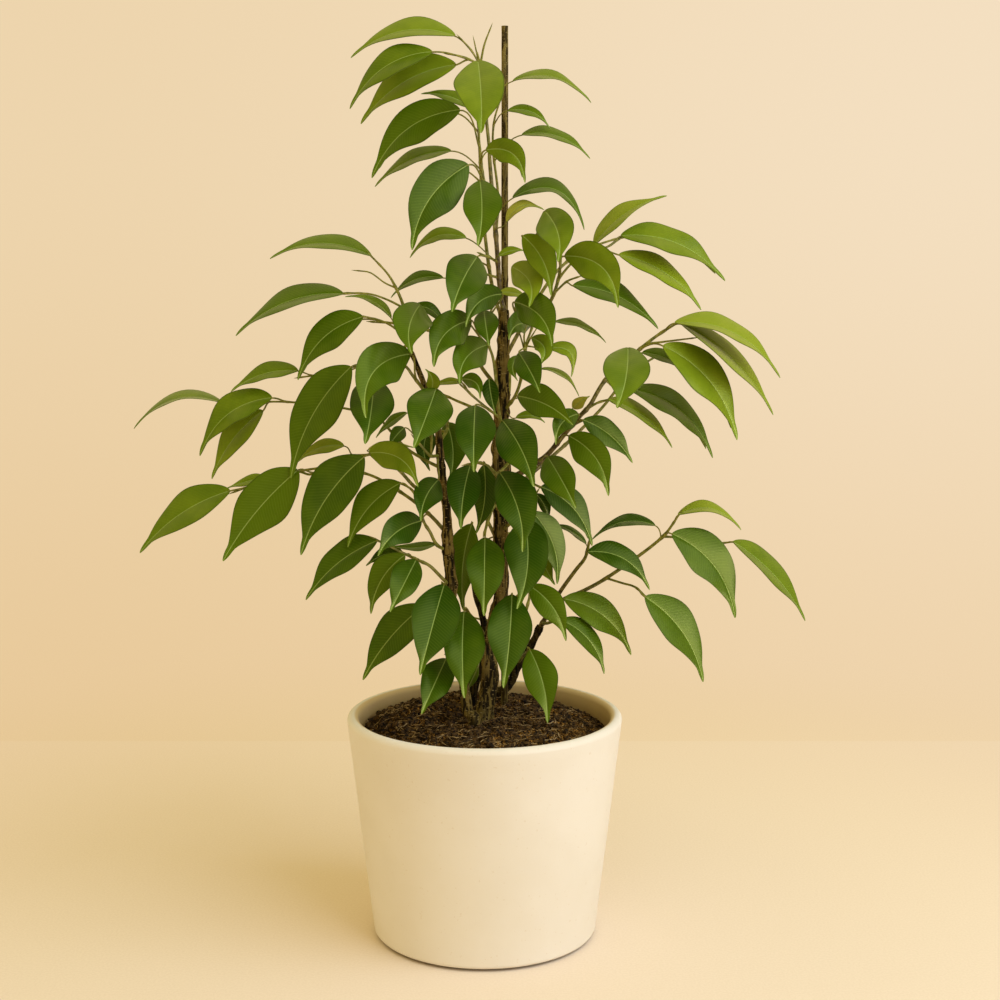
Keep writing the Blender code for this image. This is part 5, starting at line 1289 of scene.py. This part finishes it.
def build_world():
    """Warm even studio light; the camera sees the plain backdrop."""
    world = bpy.data.worlds.new("studio")
    world.use_nodes = True
    bpy.context.scene.world = world
    nodes = Nodes(world.node_tree)
    light = nodes.tree.nodes["Background"]
    nodes.fill(light, enumerate((STUDIO_COLOUR, STUDIO_STRENGTH)))
    seen = nodes.add("Background", backdrop_colour(nodes, nodes.add("TexCoord").outputs["Generated"]))
    camera_ray = nodes.add("LightPath").outputs["Is Camera Ray"]
    both = nodes.add("MixShader", camera_ray, light.outputs[0], seen.outputs[0])
    nodes.fill(nodes.tree.nodes["World Output"], ((0, both.outputs[0]),))


def add_lamp(name, place, size, power, colour):
    """A soft square lamp that faces the plant."""
    data = bpy.data.lights.new(name, "AREA")
    data.size = size
    data.energy = power
    data.color = colour
    lamp = add_object(name, data)
    lamp.location = place
    lamp.rotation_euler = (LAMP_AIM - lamp.location).to_track_quat("-Z", "Y").to_euler()
    return lamp


def build_camera():
    """A camera at the viewing point, with its pitch and field of view."""
    data = bpy.data.cameras.new("camera")
    data.sensor_width = 36.0
    data.lens = VIEW_FOCAL_PX / VIEW_WIDTH_PX * data.sensor_width
    data.clip_start = 0.02
    camera = add_object("camera", data)
    camera.location = EYE
    camera.rotation_euler = (math.pi / 2 - VIEW_PITCH, 0, 0)
    bpy.context.scene.camera = camera


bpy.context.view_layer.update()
bpy.context.scene.view_settings.view_transform = "Standard"
build_camera()
build_world()
build_stage()
add_lamp("key", (1.20, -0.90, 1.45), 1.9, 30.0, (0.78, 0.94, 1.16))
sheen = add_lamp("sheen", (0.85, -0.95, 0.15), 1.1, 32.0, (1.12, 1.0, 1.45))
sheen.visible_diffuse = False

plant = all_sprays()
build_pot(glazed_clay())
build_soil(peat(), plain_fibre("peat_crumb", (0.105, 0.056, 0.016), (0.005, 0.003, 0.001)),
           (plain_fibre("root_fibre", (0.46, 0.30, 0.12), (0.10, 0.058, 0.022)),
            plain_fibre("straw", (0.46, 0.33, 0.17), (0.25, 0.16, 0.07)),
            plain_fibre("bark_bit", (0.14, 0.085, 0.04), (0.04, 0.022, 0.010))))
build_cane(bark("cane_wood", (0.240, 0.180, 0.050), (0.040, 0.026, 0.007), (0.30, 0.22, 0.08), 0.7))
brown_bark = bark("brown_bark", (0.215, 0.148, 0.038), (0.012, 0.008, 0.002), (0.46, 0.33, 0.13))
# A darker copy of the brown bark for the stems behind: painted shade, where the front stems and leaves
# shadow them.
dark_bark = bark("dark_bark", (0.070, 0.048, 0.013), (0.006, 0.004, 0.001), (0.16, 0.11, 0.04))
for stem in STEMS:
    skin = brown_bark if stem in ("main_stem", "left_stem") else dark_bark
    build_stem(stem, skin, stem_knots(stem, plant))
skins = (green_twig(), leaf_skin())
for name, spray in plant.items():
    build_spray(name, spray, skins)
